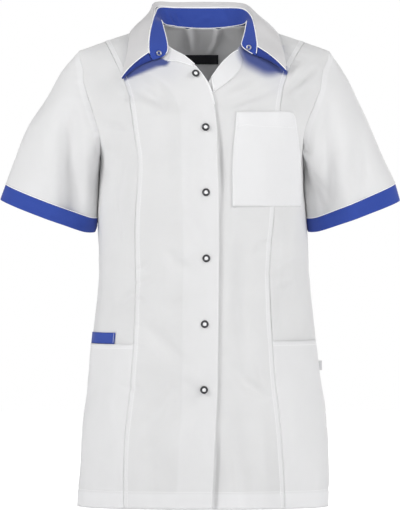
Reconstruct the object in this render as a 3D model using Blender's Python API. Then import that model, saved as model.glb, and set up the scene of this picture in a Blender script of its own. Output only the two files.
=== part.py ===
"""A white short-sleeved medical tunic with blue cuffs, filled out as if worn.

Metres, +Z up, the front faces -Y and +X is the wearer's left side. The origin is the middle of the neck
at the height of the shoulder seams.
"""
import math
from collections import namedtuple

import bmesh
import bpy
import numpy as np
from mathutils import Matrix, Vector

WALL = 0.0012
SEAM = 0.0003
HALF_WALL = WALL / 2
HEM_LEVEL = -0.730
UNDERARM = -0.195
# The panels end a hair short of the shoulder line, which leaves the seam gap between them.
SHOULDER_LEVEL = -0.00022

# The torso's level sections are superellipses of this power, rounder than a box and fuller than an ellipse.
SECTION_POWER = 2.4
# Above the underarm the chest arches over to the shoulder seam in one curve and the back in a fuller one.
CHEST_POWER = 1.5
BACK_POWER = 2.2
SHOULDER_PEAK = 0.039
SHOULDER_SLOPE = 0.36
SHOULDER_ROUND = 0.02
FRONT = -1
BACK = 1

# Half widths and depths of the torso by level. A level is a height up to the underarm, and above it the
# way from the underarm to the shoulder seam, which is level 0.
Level = namedtuple("Level", "level left right front back")
BODY = (
    Level(-0.730, 0.1924, 0.1911, 0.141, 0.131),
    Level(-0.660, 0.1895, 0.1911, 0.140, 0.129),
    Level(-0.583, 0.1840, 0.1860, 0.138, 0.125),
    Level(-0.499, 0.1739, 0.1750, 0.134, 0.117),
    Level(-0.430, 0.1665, 0.1672, 0.131, 0.110),
    Level(-0.380, 0.1636, 0.1633, 0.131, 0.107),
    Level(-0.327, 0.1622, 0.1598, 0.134, 0.108),
    Level(-0.280, 0.1620, 0.1562, 0.138, 0.112),
    Level(-0.233, 0.1590, 0.1555, 0.137, 0.116),
    Level(-0.195, 0.1580, 0.1545, 0.132, 0.118),
    Level(-0.176, 0.1690, 0.1660, 0.131, 0.118),
    Level(-0.156, 0.1790, 0.1770, 0.131, 0.118),
    Level(-0.127, 0.1890, 0.1885, 0.131, 0.118),
    Level(-0.088, 0.1955, 0.1955, 0.131, 0.117),
    Level(-0.049, 0.1990, 0.1990, 0.131, 0.117),
    Level(0.0, 0.2000, 0.2005, 0.131, 0.117),
)

# Lines as they are seen from in front, from the hem up.
Mark = namedtuple("Mark", "x z")
PRINCESS_RIGHT = (
    Mark(-0.1222, -0.730), Mark(-0.1215, -0.609), Mark(-0.1163, -0.580), Mark(-0.1120, -0.545),
    Mark(-0.1070, -0.475), Mark(-0.1054, -0.400), Mark(-0.1045, -0.300), Mark(-0.1045, -0.175),
    Mark(-0.1099, -0.110), Mark(-0.1222, -0.072), Mark(-0.1470, -0.0195), Mark(-0.1530, -0.0094),
)
PRINCESS_LEFT = (
    Mark(0.1232, -0.730), Mark(0.1186, -0.609), Mark(0.1110, -0.547), Mark(0.1055, -0.475),
    Mark(0.1005, -0.430), Mark(0.1003, -0.350), Mark(0.1073, -0.270), Mark(0.1140, -0.180),
    Mark(0.1155, -0.120), Mark(0.1183, -0.100), Mark(0.1283, -0.0595), Mark(0.1508, -0.0195),
    Mark(0.1560, -0.0105),
)
TOP_EDGE = (
    Mark(0.0127, -0.730), Mark(0.0181, -0.625), Mark(0.0219, -0.550), Mark(0.0231, -0.450),
    Mark(0.0241, -0.350), Mark(0.0241, -0.250), Mark(0.0221, -0.150), Mark(0.0149, -0.093),
    Mark(0.0067, -0.0706), Mark(-0.0071, -0.0545), Mark(-0.0164, -0.0442), Mark(-0.0285, -0.0340),
    Mark(-0.0545, -0.0205), Mark(-0.0562, -0.0110), Mark(-0.0590, 0.0010), Mark(-0.0635, 0.0165),
    Mark(-0.0655, 0.0215),
)
UNDER_EDGE = (
    Mark(-0.0230, -0.730), Mark(-0.0180, -0.625), Mark(-0.0160, -0.550), Mark(-0.0150, -0.350),
    Mark(-0.0150, -0.150), Mark(-0.0080, -0.100), Mark(0.0010, -0.080), Mark(0.0120, -0.0655),
    Mark(0.0200, -0.0550), Mark(0.0293, -0.0430), Mark(0.0442, -0.0290), Mark(0.0576, -0.0186),
    Mark(0.0590, -0.0120), Mark(0.0625, 0.0010), Mark(0.0655, 0.0145), Mark(0.0680, 0.0207),
)
ARMHOLE_RIGHT = (
    Mark(-0.1580, -0.195), Mark(-0.1570, -0.186), Mark(-0.1575, -0.174), Mark(-0.1600, -0.154),
    Mark(-0.1658, -0.135), Mark(-0.1751, -0.110), Mark(-0.1844, -0.080), Mark(-0.1879, -0.054),
    Mark(-0.1926, -0.033), Mark(-0.1945, -0.0242),
)
ARMHOLE_LEFT = (
    Mark(0.1545, -0.195), Mark(0.1520, -0.186), Mark(0.1505, -0.174), Mark(0.1530, -0.154),
    Mark(0.1594, -0.136), Mark(0.1676, -0.117), Mark(0.1781, -0.087), Mark(0.1851, -0.056),
    Mark(0.1933, -0.0367), Mark(0.1960, -0.0247),
)
BACK_ARMHOLE_RIGHT = (
    Mark(-0.1580, -0.195), Mark(-0.1560, -0.184), Mark(-0.1555, -0.165), Mark(-0.1590, -0.140),
    Mark(-0.1700, -0.105), Mark(-0.1830, -0.068), Mark(-0.1910, -0.040), Mark(-0.1945, -0.0242),
)
BACK_ARMHOLE_LEFT = (
    Mark(0.1545, -0.195), Mark(0.1525, -0.184), Mark(0.1520, -0.165), Mark(0.1560, -0.140),
    Mark(0.1680, -0.105), Mark(0.1820, -0.068), Mark(0.1915, -0.040), Mark(0.1960, -0.0247),
)
BACK_NECK = (
    Mark(-0.0655, 0.0215), Mark(-0.0620, 0.0185), Mark(-0.0500, 0.0160), Mark(-0.0270, 0.0140),
    Mark(0.0, 0.0133), Mark(0.0270, 0.0140), Mark(0.0510, 0.0160), Mark(0.0640, 0.0182),
    Mark(0.0680, 0.0207),
)

# Two lines of the left fronts that carry the breast pocket's upright edges.
POCKET_FRONT_LINE = (
    Mark(0.0425, -0.730), Mark(0.0437, -0.264), Mark(0.0502, -0.120), Mark(0.0740, -0.060),
    Mark(0.1060, 0.002),
)
POCKET_SIDE_LINE = (
    Mark(0.1810, -0.730), Mark(0.1800, -0.660), Mark(0.1760, -0.583), Mark(0.1660, -0.499),
    Mark(0.1587, -0.430), Mark(0.1482, -0.269), Mark(0.1470, -0.195), Mark(0.1445, -0.158),
    Mark(0.1384, -0.1214), Mark(0.1560, -0.060), Mark(0.1760, -0.0180),
)
CHEST_POCKET_MOUTH = -0.1205
CHEST_POCKET_MIDDLE = 0.090
CHEST_POCKET_FOOT = -0.2665
POCKET_TOP_RIGHT = -0.4778
POCKET_TOP_LEFT = -0.4727
TAB_TOP = -0.4600
TAB_FOOT = -0.4774
TAB_TURN = -49.1
TAG_SIZE = (0.0055, 0.0010, 0.0148)
TAG_HEIGHT = -0.512
# A panel's rows below the underarm are evenly spaced, but for those that a pocket's edge replaces.
ROW_STEP = 0.036
ROW_NEAREST = 0.009
UPPER_ROWS = (-0.180, -0.163, -0.144, -0.122, -0.100, -0.080, -0.070, -0.061, -0.0515, -0.042, -0.023,
              SHOULDER_LEVEL)
# What lies on a panel starts a seam gap off its face.
ON_PANEL = HALF_WALL + SEAM
# The left front dips under the right one from this far beside the right one's edge.
DIP_START = 0.030
DIP_RUN = 0.022
BLADE_LEVEL = -0.121

# The label inside the back neck hangs clear of the back's inner face.
LABEL_DROP = 0.0018
LABEL_COLUMNS = (-0.029, -0.016, -0.003, 0.010, 0.0235)
LABEL_ROWS = (-0.0395, -0.025)

# The facings where they turn out beside the neck: their fold and their edge.
FACING_FOLD_RIGHT = (Mark(-0.0135, -0.0475), Mark(-0.0285, -0.0345), Mark(-0.0495, -0.0238))
FACING_EDGE_RIGHT = (Mark(-0.0165, -0.0500), Mark(-0.0364, -0.0432), Mark(-0.0540, -0.0420))
FACING_FOLD_LEFT = (
    Mark(0.0125, -0.0670), Mark(0.0290, -0.0440), Mark(0.0442, -0.0300), Mark(0.0530, -0.0250),
)
FACING_EDGE_LEFT = (
    Mark(0.0155, -0.0900), Mark(0.0400, -0.0740), Mark(0.0570, -0.0570), Mark(0.0600, -0.0370),
)

# The largest soft folds of the torso: a line seen from in front, how wide it is and how deep.
Fold = namedtuple("Fold", "x0 z0 x1 z1 width depth")
FRONT_FOLDS = (
    Fold(-0.1144, -0.180, -0.1359, -0.279, 0.013, -0.0040),
    Fold(-0.1834, -0.045, -0.1298, -0.081, 0.013, -0.0035),
    Fold(-0.1512, -0.140, -0.1144, -0.144, 0.011, -0.0025),
    Fold(0.1880, -0.045, 0.1508, -0.071, 0.013, -0.0045),
    Fold(0.0895, -0.114, 0.1324, -0.092, 0.011, -0.0030),
    Fold(0.1446, -0.357, 0.1017, -0.379, 0.012, -0.0035),
    Fold(-0.0823, -0.357, -0.1129, -0.410, 0.013, -0.0035),
    Fold(-0.0516, -0.551, -0.0976, -0.609, 0.020, -0.0050),
    Fold(0.1017, -0.528, 0.0450, -0.560, 0.017, -0.0040),
    Fold(0.1048, -0.643, 0.0312, -0.692, 0.019, -0.0045),
    Fold(-0.0550, -0.640, -0.0620, -0.740, 0.026, 0.0045),
    Fold(0.0700, -0.590, 0.0740, -0.740, 0.026, 0.0040),
)
BACK_FOLDS = (
    Fold(-0.0950, -0.140, -0.0750, -0.290, 0.018, -0.0045),
    Fold(0.1010, -0.150, 0.0720, -0.270, 0.016, -0.0040),
    Fold(-0.0420, -0.330, -0.0900, -0.420, 0.018, -0.0050),
    Fold(0.0500, -0.345, 0.1000, -0.400, 0.016, -0.0045),
    Fold(-0.0700, -0.520, -0.0850, -0.740, 0.024, -0.0060),
    Fold(0.0150, -0.560, 0.0100, -0.740, 0.026, 0.0050),
    Fold(0.0950, -0.500, 0.1080, -0.740, 0.024, -0.0055),
)
FOLDS_END = 76
FOLDS_FADE = 12

# A sleeve's sections: its outer and inner sides seen from in front, and its half depth.
Ring = namedtuple("Ring", "along outer_x outer_z inner_x inner_z depth")
SLEEVE_RIGHT = (
    Ring(0.00, -0.1985, -0.0254, -0.1585, -0.1950, 0.053),
    Ring(0.14, -0.2207, -0.0500, -0.1605, -0.2080, 0.055),
    Ring(0.32, -0.2416, -0.0921, -0.1625, -0.2230, 0.056),
    Ring(0.52, -0.2675, -0.1294, -0.1650, -0.2400, 0.055),
    Ring(0.74, -0.2886, -0.1787, -0.1675, -0.2580, 0.051),
    Ring(1.00, -0.3073, -0.2300, -0.1710, -0.2820, 0.046),
    Ring(1.20, -0.3155, -0.2540, -0.1800, -0.3050, 0.043),
)
SLEEVE_LEFT = (
    Ring(0.00, 0.2000, -0.0265, 0.1550, -0.1950, 0.053),
    Ring(0.14, 0.2202, -0.0546, 0.1590, -0.2090, 0.055),
    Ring(0.32, 0.2378, -0.0921, 0.1615, -0.2240, 0.056),
    Ring(0.52, 0.2560, -0.1340, 0.1635, -0.2410, 0.055),
    Ring(0.74, 0.2760, -0.1810, 0.1655, -0.2600, 0.051),
    Ring(1.00, 0.2975, -0.2290, 0.1685, -0.2830, 0.046),
    Ring(1.20, 0.3049, -0.2555, 0.1720, -0.3045, 0.043),
)
RING_POWER = 2.2
SLEEVE_SIDES = 26
SLEEVE_RINGS = (0.0, 0.07, 0.15, 0.24, 0.34, 0.45, 0.56, 0.67, 0.78, 0.89, 1.0)
CUFF_RINGS = (1.003, 1.07, 1.135, 1.2)
# The armhole's own shape fades out of the sleeve by this far along it.
ARMHOLE_REACH = 0.6
CUFF_TILT = 0.004
SLEEVE_LIFT = 0.0022

# Troughs and ridges down a sleeve: the way round from its outer side, over the front.
Crease = namedtuple("Crease", "turn start end width depth")
CREASES_RIGHT = (
    Crease(118, 0.30, 1.25, 13, -0.0070),
    Crease(78, 0.05, 0.45, 16, -0.0040),
    Crease(150, 0.45, 1.00, 12, 0.0030),
    Crease(245, 0.30, 1.20, 16, -0.0060),
)
CREASES_LEFT = (
    Crease(119, 0.25, 1.10, 12, -0.0065),
    Crease(72, 0.50, 1.25, 13, -0.0045),
    Crease(96, 0.55, 1.20, 10, 0.0030),
    Crease(250, 0.30, 1.20, 16, -0.0060),
)

# The collar from its right front end round the back to its left one. The neck line is given as it is seen
# on the front or the back, with its lift off the cloth, and the roll and the leaf's edge in full.
Station = namedtuple("Station", "side neck_x neck_z seat roll_x roll_y roll_z edge_x edge_y edge_z")
COLLAR = (
    Station(FRONT, -0.0610, -0.0370, 0.0036, -0.0790, -0.0700, -0.0400, -0.1245, -0.0715, -0.0690),
    Station(FRONT, -0.0545, -0.0270, 0.0032, -0.0853, -0.0730, -0.0285, -0.1262, -0.0745, -0.0668),
    Station(FRONT, -0.0562, -0.0110, 0.0030, -0.0852, -0.0570, -0.0120, -0.1200, -0.0560, -0.0375),
    Station(FRONT, -0.0590, 0.0010, 0.0028, -0.0838, -0.0390, 0.0030, -0.1163, -0.0420, -0.0200),
    Station(FRONT, -0.0635, 0.0180, 0.0030, -0.0805, -0.0170, 0.0220, -0.1150, -0.0200, 0.0004),
    Station(BACK, -0.0655, 0.0214, 0.0028, -0.0785, 0.0080, 0.0320, -0.1120, 0.0100, 0.0102),
    Station(BACK, -0.0620, 0.0180, 0.0015, -0.0745, 0.0340, 0.0450, -0.1060, 0.0400, 0.0020),
    Station(BACK, -0.0500, 0.0160, 0.0015, -0.0660, 0.0520, 0.0525, -0.0830, 0.0670, 0.0020),
    Station(BACK, -0.0270, 0.0140, 0.0015, -0.0340, 0.0630, 0.0535, -0.0400, 0.0790, 0.0025),
    Station(BACK, 0.0000, 0.0133, 0.0015, 0.0000, 0.0655, 0.0540, 0.0000, 0.0820, 0.0030),
    Station(BACK, 0.0270, 0.0140, 0.0015, 0.0320, 0.0630, 0.0535, 0.0380, 0.0790, 0.0025),
    Station(BACK, 0.0510, 0.0160, 0.0015, 0.0600, 0.0520, 0.0520, 0.0800, 0.0670, 0.0020),
    Station(BACK, 0.0640, 0.0178, 0.0022, 0.0705, 0.0340, 0.0440, 0.1045, 0.0400, 0.0025),
    Station(BACK, 0.0675, 0.0206, 0.0030, 0.0755, 0.0100, 0.0325, 0.1120, 0.0100, 0.0090),
    Station(FRONT, 0.0655, 0.0165, 0.0034, 0.0780, -0.0145, 0.0220, 0.1165, -0.0200, -0.0010),
    Station(FRONT, 0.0625, 0.0010, 0.0034, 0.0805, -0.0340, 0.0045, 0.1215, -0.0430, -0.0190),
    Station(FRONT, 0.0590, -0.0120, 0.0036, 0.0825, -0.0520, -0.0090, 0.1256, -0.0590, -0.0364),
    Station(FRONT, 0.0576, -0.0190, 0.0038, 0.0836, -0.0670, -0.0200, 0.1267, -0.0705, -0.0552),
    Station(FRONT, 0.0615, -0.0255, 0.0042, 0.0815, -0.0640, -0.0330, 0.1258, -0.0690, -0.0585),
)
ROLL_RADIUS = 0.0028
LEAF_BULGE = 0.003
BACK_STRIP = 0.19

RING_OUTER = 0.0060
RING_INNER = 0.0027
RING_HEIGHT = 0.0016
RING_SIDES = 16
SNAPS = (Mark(0.0031, -0.1448), Mark(0.0036, -0.2446), Mark(0.0040, -0.3455), Mark(0.0016, -0.4463),
         Mark(0.0007, -0.5469))
SNAP_NECK = Mark(-0.0120, -0.0622)
SNAP_NECK_TIP = 0.25
# The stand's snaps: how far from its ends, in stations, and how far up it.
STAND_SNAP = 0.75
STAND_SNAP_UP = 0.47
STAND_SNAP_SIZE = 0.9

Paint = namedtuple("Paint", "red green blue rough metal")
WHITE = Paint(0.80, 0.80, 0.81, 0.85, 0.0)
BLUE = Paint(0.045, 0.085, 0.42, 0.85, 0.0)
DARK = Paint(0.02, 0.02, 0.025, 0.7, 0.0)
STEEL = Paint(0.32, 0.32, 0.34, 0.35, 1.0)


def clear_scene():
    for item in list(bpy.data.objects):
        bpy.data.objects.remove(item, do_unlink=True)


def smooth(at, places, values):
    """A curve through the values at their places, by cubic pieces."""
    places = np.asarray(places, float)
    values = np.asarray(values, float)
    slopes = np.gradient(values, places, axis=0)
    i = int(np.clip(np.searchsorted(places, at) - 1, 0, len(places) - 2))
    span = places[i + 1] - places[i]
    t = min(max((at - places[i]) / span, 0.0), 1.0)
    start = (2 * t**3 - 3 * t**2 + 1) * values[i] + (t**3 - 2 * t**2 + t) * span * slopes[i]
    end = (3 * t**2 - 2 * t**3) * values[i + 1] + (t**3 - t**2) * span * slopes[i + 1]
    return start + end


def field(table, name, at):
    """One column of a table whose first column is the place."""
    return float(smooth(at, [row[0] for row in table], [getattr(row, name) for row in table]))


def mix(a, b, share):
    return a + (b - a) * share


def ease(share):
    share = min(max(share, 0.0), 1.0)
    return share * share * (3 - 2 * share)


def direction(turn, power):
    """The two reaches of a superellipse of size 1 at an angle in degrees."""
    across = math.sin(math.radians(turn))
    out = math.cos(math.radians(turn))
    reach = (abs(across)**power + abs(out)**power)**(-1 / power)
    return across * reach, out * reach


def shoulder_height(x):
    return SHOULDER_PEAK - SHOULDER_SLOPE * (math.hypot(x, SHOULDER_ROUND) - SHOULDER_ROUND)


def arch_power(side):
    return CHEST_POWER if side == FRONT else BACK_POWER


def torso(side, turn, level):
    """A point of the garment's middle surface, without folds."""
    across, out = direction(turn, SECTION_POWER)
    x = across * field(BODY, "left" if turn < 0 else "right", level)
    depth = field(BODY, "front" if side == FRONT else "back", level)
    if level <= UNDERARM:
        return Vector((x, side * depth * out, level))
    rise, reach = direction(90 * (1 - level / UNDERARM), arch_power(side))
    z = UNDERARM + rise * (shoulder_height(x) - UNDERARM)
    return Vector((x, side * depth * out * reach, z))


def seen(side, x, z):
    """The turn and level of the torso's point that shows at x, z."""
    level = z
    if z > UNDERARM:
        power = arch_power(side)
        rise = min((z - UNDERARM) / (shoulder_height(x) - UNDERARM), 1.0)
        reach = (1 - rise**power)**(1 / power)
        level = UNDERARM * (1 - math.degrees(math.atan2(rise, reach)) / 90)
    half = field(BODY, "left" if x < 0 else "right", level)
    share = min(abs(x) / half, 1.0)
    out = (1 - share**SECTION_POWER)**(1 / SECTION_POWER)
    return math.copysign(math.degrees(math.atan2(share, out)), x), level


def torso_normal(side, turn, level):
    step = 0.4
    rise = 0.0015
    across = torso(side, turn + step, level) - torso(side, turn - step, level)
    low = max(level - rise, HEM_LEVEL)
    high = min(level + rise, -1e-6)
    up = torso(side, turn, high) - torso(side, turn, low)
    normal = across.cross(up) * -side
    if level >= SHOULDER_LEVEL:
        normal.y = 0
    return normal.normalized()


def fold_depth(side, x, z):
    """How far the folds move the cloth out at a point seen from in front."""
    total = 0.0
    for fold in (FRONT_FOLDS if side == FRONT else BACK_FOLDS):
        run = Vector((fold.x1 - fold.x0, fold.z1 - fold.z0))
        way = Vector((x - fold.x0, z - fold.z0))
        share = min(max(way.dot(run) / run.length_squared, 0.0), 1.0)
        away = (way - run * share).length / fold.width
        total += fold.depth * math.exp(-away * away)
    return total


def on_body(side, turn, level, lift):
    """A point of the folded torso, lifted off its middle surface."""
    point = torso(side, turn, level)
    # The folds die out before the side seams.
    rim = ease((abs(turn) - FOLDS_END) / FOLDS_FADE)
    fold = fold_depth(side, point.x, point.z) * (1 - rim)
    return point + torso_normal(side, turn, level) * (lift + fold)


def at_mark(side, x, z, lift):
    turn, level = seen(side, x, z)
    return on_body(side, turn, level, lift)


def seam_line(side, marks):
    """A seam's turn at any level, from its marks."""
    pairs = sorted((level, turn) for turn, level in (seen(side, mark.x, mark.z) for mark in marks))
    levels = [pair[0] for pair in pairs]
    turns = [pair[1] for pair in pairs]
    return lambda level: float(np.interp(level, levels, turns))


def seam_step(side, turn, level):
    """The turn that moves a point half a seam gap along the cloth."""
    return SEAM / 2 / (torso(side, turn + 0.5, level) - torso(side, turn - 0.5, level)).length


def closed_wall(name, inner, outer, paint, ring=False):
    """A wall between two grids of points; a ring's rows close on themselves."""
    mesh = bpy.data.meshes.new(name)
    bm = bmesh.new()
    rows = len(inner)
    columns = len(inner[0])
    low = [[bm.verts.new(point) for point in row] for row in inner]
    high = [[bm.verts.new(point) for point in row] for row in outer]
    last = columns if ring else columns - 1
    for r in range(rows - 1):
        for c in range(last):
            d = (c + 1) % columns
            bm.faces.new((high[r][c], high[r][d], high[r + 1][d], high[r + 1][c]))
            bm.faces.new((low[r][c], low[r + 1][c], low[r + 1][d], low[r][d]))
    for c in range(last):
        d = (c + 1) % columns
        bm.faces.new((low[0][c], low[0][d], high[0][d], high[0][c]))
        bm.faces.new((high[-1][c], high[-1][d], low[-1][d], low[-1][c]))
    if not ring:
        for r in range(rows - 1):
            bm.faces.new((low[r][0], high[r][0], high[r + 1][0], low[r + 1][0]))
            bm.faces.new((high[r][-1], low[r][-1], low[r + 1][-1], high[r + 1][-1]))
    bmesh.ops.triangulate(bm, faces=bm.faces, quad_method="FIXED")
    bmesh.ops.recalc_face_normals(bm, faces=bm.faces)
    bm.to_mesh(mesh)
    bm.free()
    return finished(name, mesh, paint)


def finished(name, mesh, paint):
    mesh.shade_smooth()
    mesh.set_sharp_from_angle(angle=math.radians(40))
    mesh.materials.append(material(name, paint))
    piece = bpy.data.objects.new(name, mesh)
    bpy.context.scene.collection.objects.link(piece)
    return piece


def material(name, paint):
    made = bpy.data.materials.new(name)
    made.use_nodes = True
    shader = made.node_tree.nodes["Principled BSDF"]
    shader.inputs["Base Color"].default_value = (paint.red, paint.green, paint.blue, 1)
    shader.inputs["Roughness"].default_value = paint.rough
    shader.inputs["Metallic"].default_value = paint.metal
    return made


def body_wall(name, side, spots, paint, low=-HALF_WALL, high=HALF_WALL, shift=None):
    """A wall on the torso over a grid of turns and levels."""
    def lifted(lift):
        return [[on_body(side, turn, level, lift + (shift(turn, level) if shift else 0.0))
                 for turn, level in row] for row in spots]
    return closed_wall(name, lifted(low), lifted(high), paint)


def levels_between(low, high, step):
    count = max(1, round((high - low) / step))
    return [mix(low, high, i / count) for i in range(count + 1)]


def chest_pocket_top():
    return seen(FRONT, CHEST_POCKET_MIDDLE, CHEST_POCKET_MOUTH)[1]


def panel_levels(word=None):
    """The rows of a torso panel, closer where the neck and armholes curve, with the rows its pockets need."""
    rows = {"right": [TAB_TOP, TAB_FOOT, POCKET_TOP_RIGHT],
            "left": [CHEST_POCKET_FOOT, POCKET_TOP_LEFT, chest_pocket_top()],
            None: []}[word]
    own = list(rows)
    for level in levels_between(HEM_LEVEL, UNDERARM, ROW_STEP) + list(UPPER_ROWS):
        if all(abs(level - other) > ROW_NEAREST for other in own):
            rows.append(level)
    return sorted(rows)


def flat_level(turn, level):
    """A row's level at a turn, so that the left fronts' rows run flat up to the breast pocket's mouth."""
    if level <= UNDERARM:
        return level
    rise = direction(90 * (1 - level / UNDERARM), CHEST_POWER)[0]
    z = UNDERARM + rise * (shoulder_height(CHEST_POCKET_MIDDLE) - UNDERARM)
    flat = seen(FRONT, torso(FRONT, turn, level).x, z)[1]
    return mix(level, flat, ease((level - SHOULDER_LEVEL) / (chest_pocket_top() - SHOULDER_LEVEL)))


def panel_grid(side, rows, lines, counts, warp=None):
    """Turns and levels between lines; the outer lines keep half a seam gap to the next panel."""
    grid = []
    for level in rows:
        turns = [line(warp(line(level), level) if warp else level) for line in lines]
        turns[0] += seam_step(side, turns[0], level)
        turns[-1] -= seam_step(side, turns[-1], level)
        row = [turns[0]]
        for a, b, count in zip(turns, turns[1:], counts):
            row += [mix(a, b, i / count) for i in range(1, count + 1)]
        grid.append([(turn, warp(turn, level) if warp else level) for turn in row])
    return grid


def even_line(turn):
    return lambda level: turn


def armhole_or_side(side, marks, sign):
    """The outer edge of a side panel: the side seam, then the armhole."""
    hole = seam_line(side, marks)
    return lambda level: 90.0 * sign if level <= UNDERARM else hole(level)


def front_right_lines():
    return seam_line(FRONT, PRINCESS_RIGHT), seam_line(FRONT, TOP_EDGE)


def front_left_lines():
    return seam_line(FRONT, UNDER_EDGE), seam_line(FRONT, POCKET_FRONT_LINE), seam_line(FRONT, PRINCESS_LEFT)


def side_right_lines():
    return (armhole_or_side(FRONT, ARMHOLE_RIGHT, -1), even_line(TAB_TURN), seam_line(FRONT, PRINCESS_RIGHT))


def side_left_lines():
    return (seam_line(FRONT, PRINCESS_LEFT), seam_line(FRONT, POCKET_SIDE_LINE),
            armhole_or_side(FRONT, ARMHOLE_LEFT, 1))


def under_shift(turn, level):
    """The left front dips under the right one along the centre."""
    x = torso(FRONT, turn, level).x
    edge = torso(FRONT, seam_line(FRONT, TOP_EDGE)(level), level).x
    return -(WALL + 3 * SEAM) * ease((edge + DIP_START - x) / DIP_RUN)


def build_fronts():
    right = panel_grid(FRONT, panel_levels("right"), front_right_lines(), (9,))
    left = panel_grid(FRONT, panel_levels("left"), front_left_lines(), (4, 5), flat_level)
    body_wall("front_right", FRONT, right, WHITE)
    body_wall("front_left", FRONT, left, WHITE, shift=under_shift)


def build_side_fronts():
    right = panel_grid(FRONT, panel_levels("right"), side_right_lines(), (5, 2))
    left = panel_grid(FRONT, panel_levels("left"), side_left_lines(), (4, 3), flat_level)
    body_wall("side_front_right", FRONT, right, WHITE)
    body_wall("side_front_left", FRONT, left, WHITE)


def back_neck_level(turn):
    pairs = [seen(BACK, mark.x, mark.z) for mark in BACK_NECK]
    turns = [pair[0] for pair in pairs]
    return float(np.interp(turn, turns, [pair[1] for pair in pairs], SHOULDER_LEVEL, SHOULDER_LEVEL))


def build_back():
    """The rows above the shoulder blades dip towards the neck line."""
    lines = (armhole_or_side(BACK, BACK_ARMHOLE_RIGHT, -1), armhole_or_side(BACK, BACK_ARMHOLE_LEFT, 1))
    shaped = []
    for row in panel_grid(BACK, panel_levels(), lines, (20,)):
        share = max(0.0, 1 - row[0][1] / BLADE_LEVEL)
        shaped.append([(turn, level + back_neck_level(turn) * share) for turn, level in row])
    body_wall("back", BACK, shaped, WHITE)


def lifted_off(side, turn, level):
    """A point where the sleeve starts, on the outer face of the armhole's edge."""
    return torso(side, turn, level) + torso_normal(side, turn, level) * SLEEVE_LIFT


def armhole_loop(front_marks, back_marks, sides):
    """The armhole as a ring of points: from the shoulder over the front and round the back."""
    levels = [mix(SHOULDER_LEVEL, UNDERARM, i / 30) for i in range(31)]
    front = seam_line(FRONT, front_marks)
    back = seam_line(BACK, back_marks)
    loop = [lifted_off(FRONT, front(level), level) for level in levels]
    loop += [lifted_off(BACK, back(level), level) for level in reversed(levels)][1:-1]
    gaps = [(loop[(i + 1) % len(loop)] - loop[i]).length for i in range(len(loop))]
    total = sum(gaps)
    run = np.concatenate(([0.0], np.cumsum(gaps)))
    closed = loop + [loop[0]]
    axes = list(zip(*closed))
    places = [total * i / sides for i in range(sides)]
    return [Vector([float(np.interp(at, run, values)) for values in axes]) for at in places]


def crease_depth(creases, turn, along):
    total = 0.0
    for crease in creases:
        away = (turn - crease.turn) / crease.width
        inside = ease((along - crease.start) / 0.3) * ease((crease.end + 0.25 - along) / 0.25)
        total += crease.depth * math.exp(-away * away) * inside
    return total


def sleeve_ring(table, creases, along, sides):
    """A ring of the sleeve's middle surface."""
    outer = Vector((field(table, "outer_x", along), 0, field(table, "outer_z", along)))
    inner = Vector((field(table, "inner_x", along), 0, field(table, "inner_z", along)))
    middle = (outer + inner) / 2
    across = (outer - inner) / 2
    depth = field(table, "depth", along)
    ring = []
    for i in range(sides):
        turn = 360 * i / sides
        out, forward = direction(90 - turn, RING_POWER)
        fold = crease_depth(creases, turn, along)
        size = 1 + fold / math.hypot(across.length * out, depth * forward)
        tilt = CUFF_TILT * forward * ease(along)
        ring.append(middle + (across * out + Vector((0, -depth * forward, -tilt))) * size)
    return ring


def ring_grid(rings, lift):
    """The rings moved along the surface's own normals."""
    grid = []
    for r, ring in enumerate(rings):
        below = rings[max(r - 1, 0)]
        above = rings[min(r + 1, len(rings) - 1)]
        row = []
        for c, point in enumerate(ring):
            round_way = ring[(c + 1) % len(ring)] - ring[c - 1]
            down_way = above[c] - below[c]
            row.append(point + round_way.cross(down_way).normalized() * lift)
        grid.append(row)
    return grid


def build_sleeve(word, table, creases, front_marks, back_marks, sign):
    """The sleeve grows from the armhole's own line into its round sections, and the cuff goes on from it."""
    loop = armhole_loop(front_marks, back_marks, SLEEVE_SIDES)
    first = sleeve_ring(table, (), 0.0, SLEEVE_SIDES)
    rings = []
    for along in SLEEVE_RINGS:
        keep = 1 - ease(along / ARMHOLE_REACH)
        ring = sleeve_ring(table, creases, along, SLEEVE_SIDES)
        rings.append([point + (loop[i] - first[i]) * keep for i, point in enumerate(ring)])
    # The two sleeves run opposite ways round, so each names the side of its outer face.
    face = -sign * HALF_WALL
    closed_wall("sleeve_" + word, ring_grid(rings, face), ring_grid(rings, -face), WHITE, ring=True)
    cuff = [sleeve_ring(table, creases, along, SLEEVE_SIDES) for along in CUFF_RINGS]
    closed_wall("cuff_" + word, ring_grid(cuff, face), ring_grid(cuff, -face), BLUE, ring=True)


def collar_lines():
    neck = [at_mark(row.side, row.neck_x, row.neck_z, row.seat) for row in COLLAR]
    roll = [Vector((row.roll_x, row.roll_y, row.roll_z)) for row in COLLAR]
    edge = [Vector((row.edge_x, row.edge_y, row.edge_z)) for row in COLLAR]
    return neck, roll, edge


def collar_point(lines, at, way):
    """A point of the collar's middle: way 0 to 1 up the stand, to 2 round the roll, to 3 down the leaf."""
    neck, roll, edge = (Vector(smooth(at, range(len(line)), line)) for line in lines)
    up = (roll - neck).normalized()
    fall = edge - roll
    out = (fall - up * fall.dot(up)).normalized()
    if way <= 1:
        return neck.lerp(roll, way)
    bend = up.angle(fall)
    turn = bend * (min(way, 2) - 1)
    point = roll + out * ROLL_RADIUS * (1 - math.cos(turn)) + up * ROLL_RADIUS * math.sin(turn)
    if way <= 2:
        return point
    share = way - 2
    top = up * math.sin(bend) - out * math.cos(bend)
    return point.lerp(edge, share) + top * LEAF_BULGE * 4 * share * (1 - share)


def strip_share(at):
    """How much of the stand's top the upper collar covers: a strip at the back, nothing in front."""
    middle = (len(COLLAR) - 1) / 2
    return 0.03 + (BACK_STRIP - 0.03) * ease((6.2 - abs(at - middle)) / 3.4)


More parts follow.
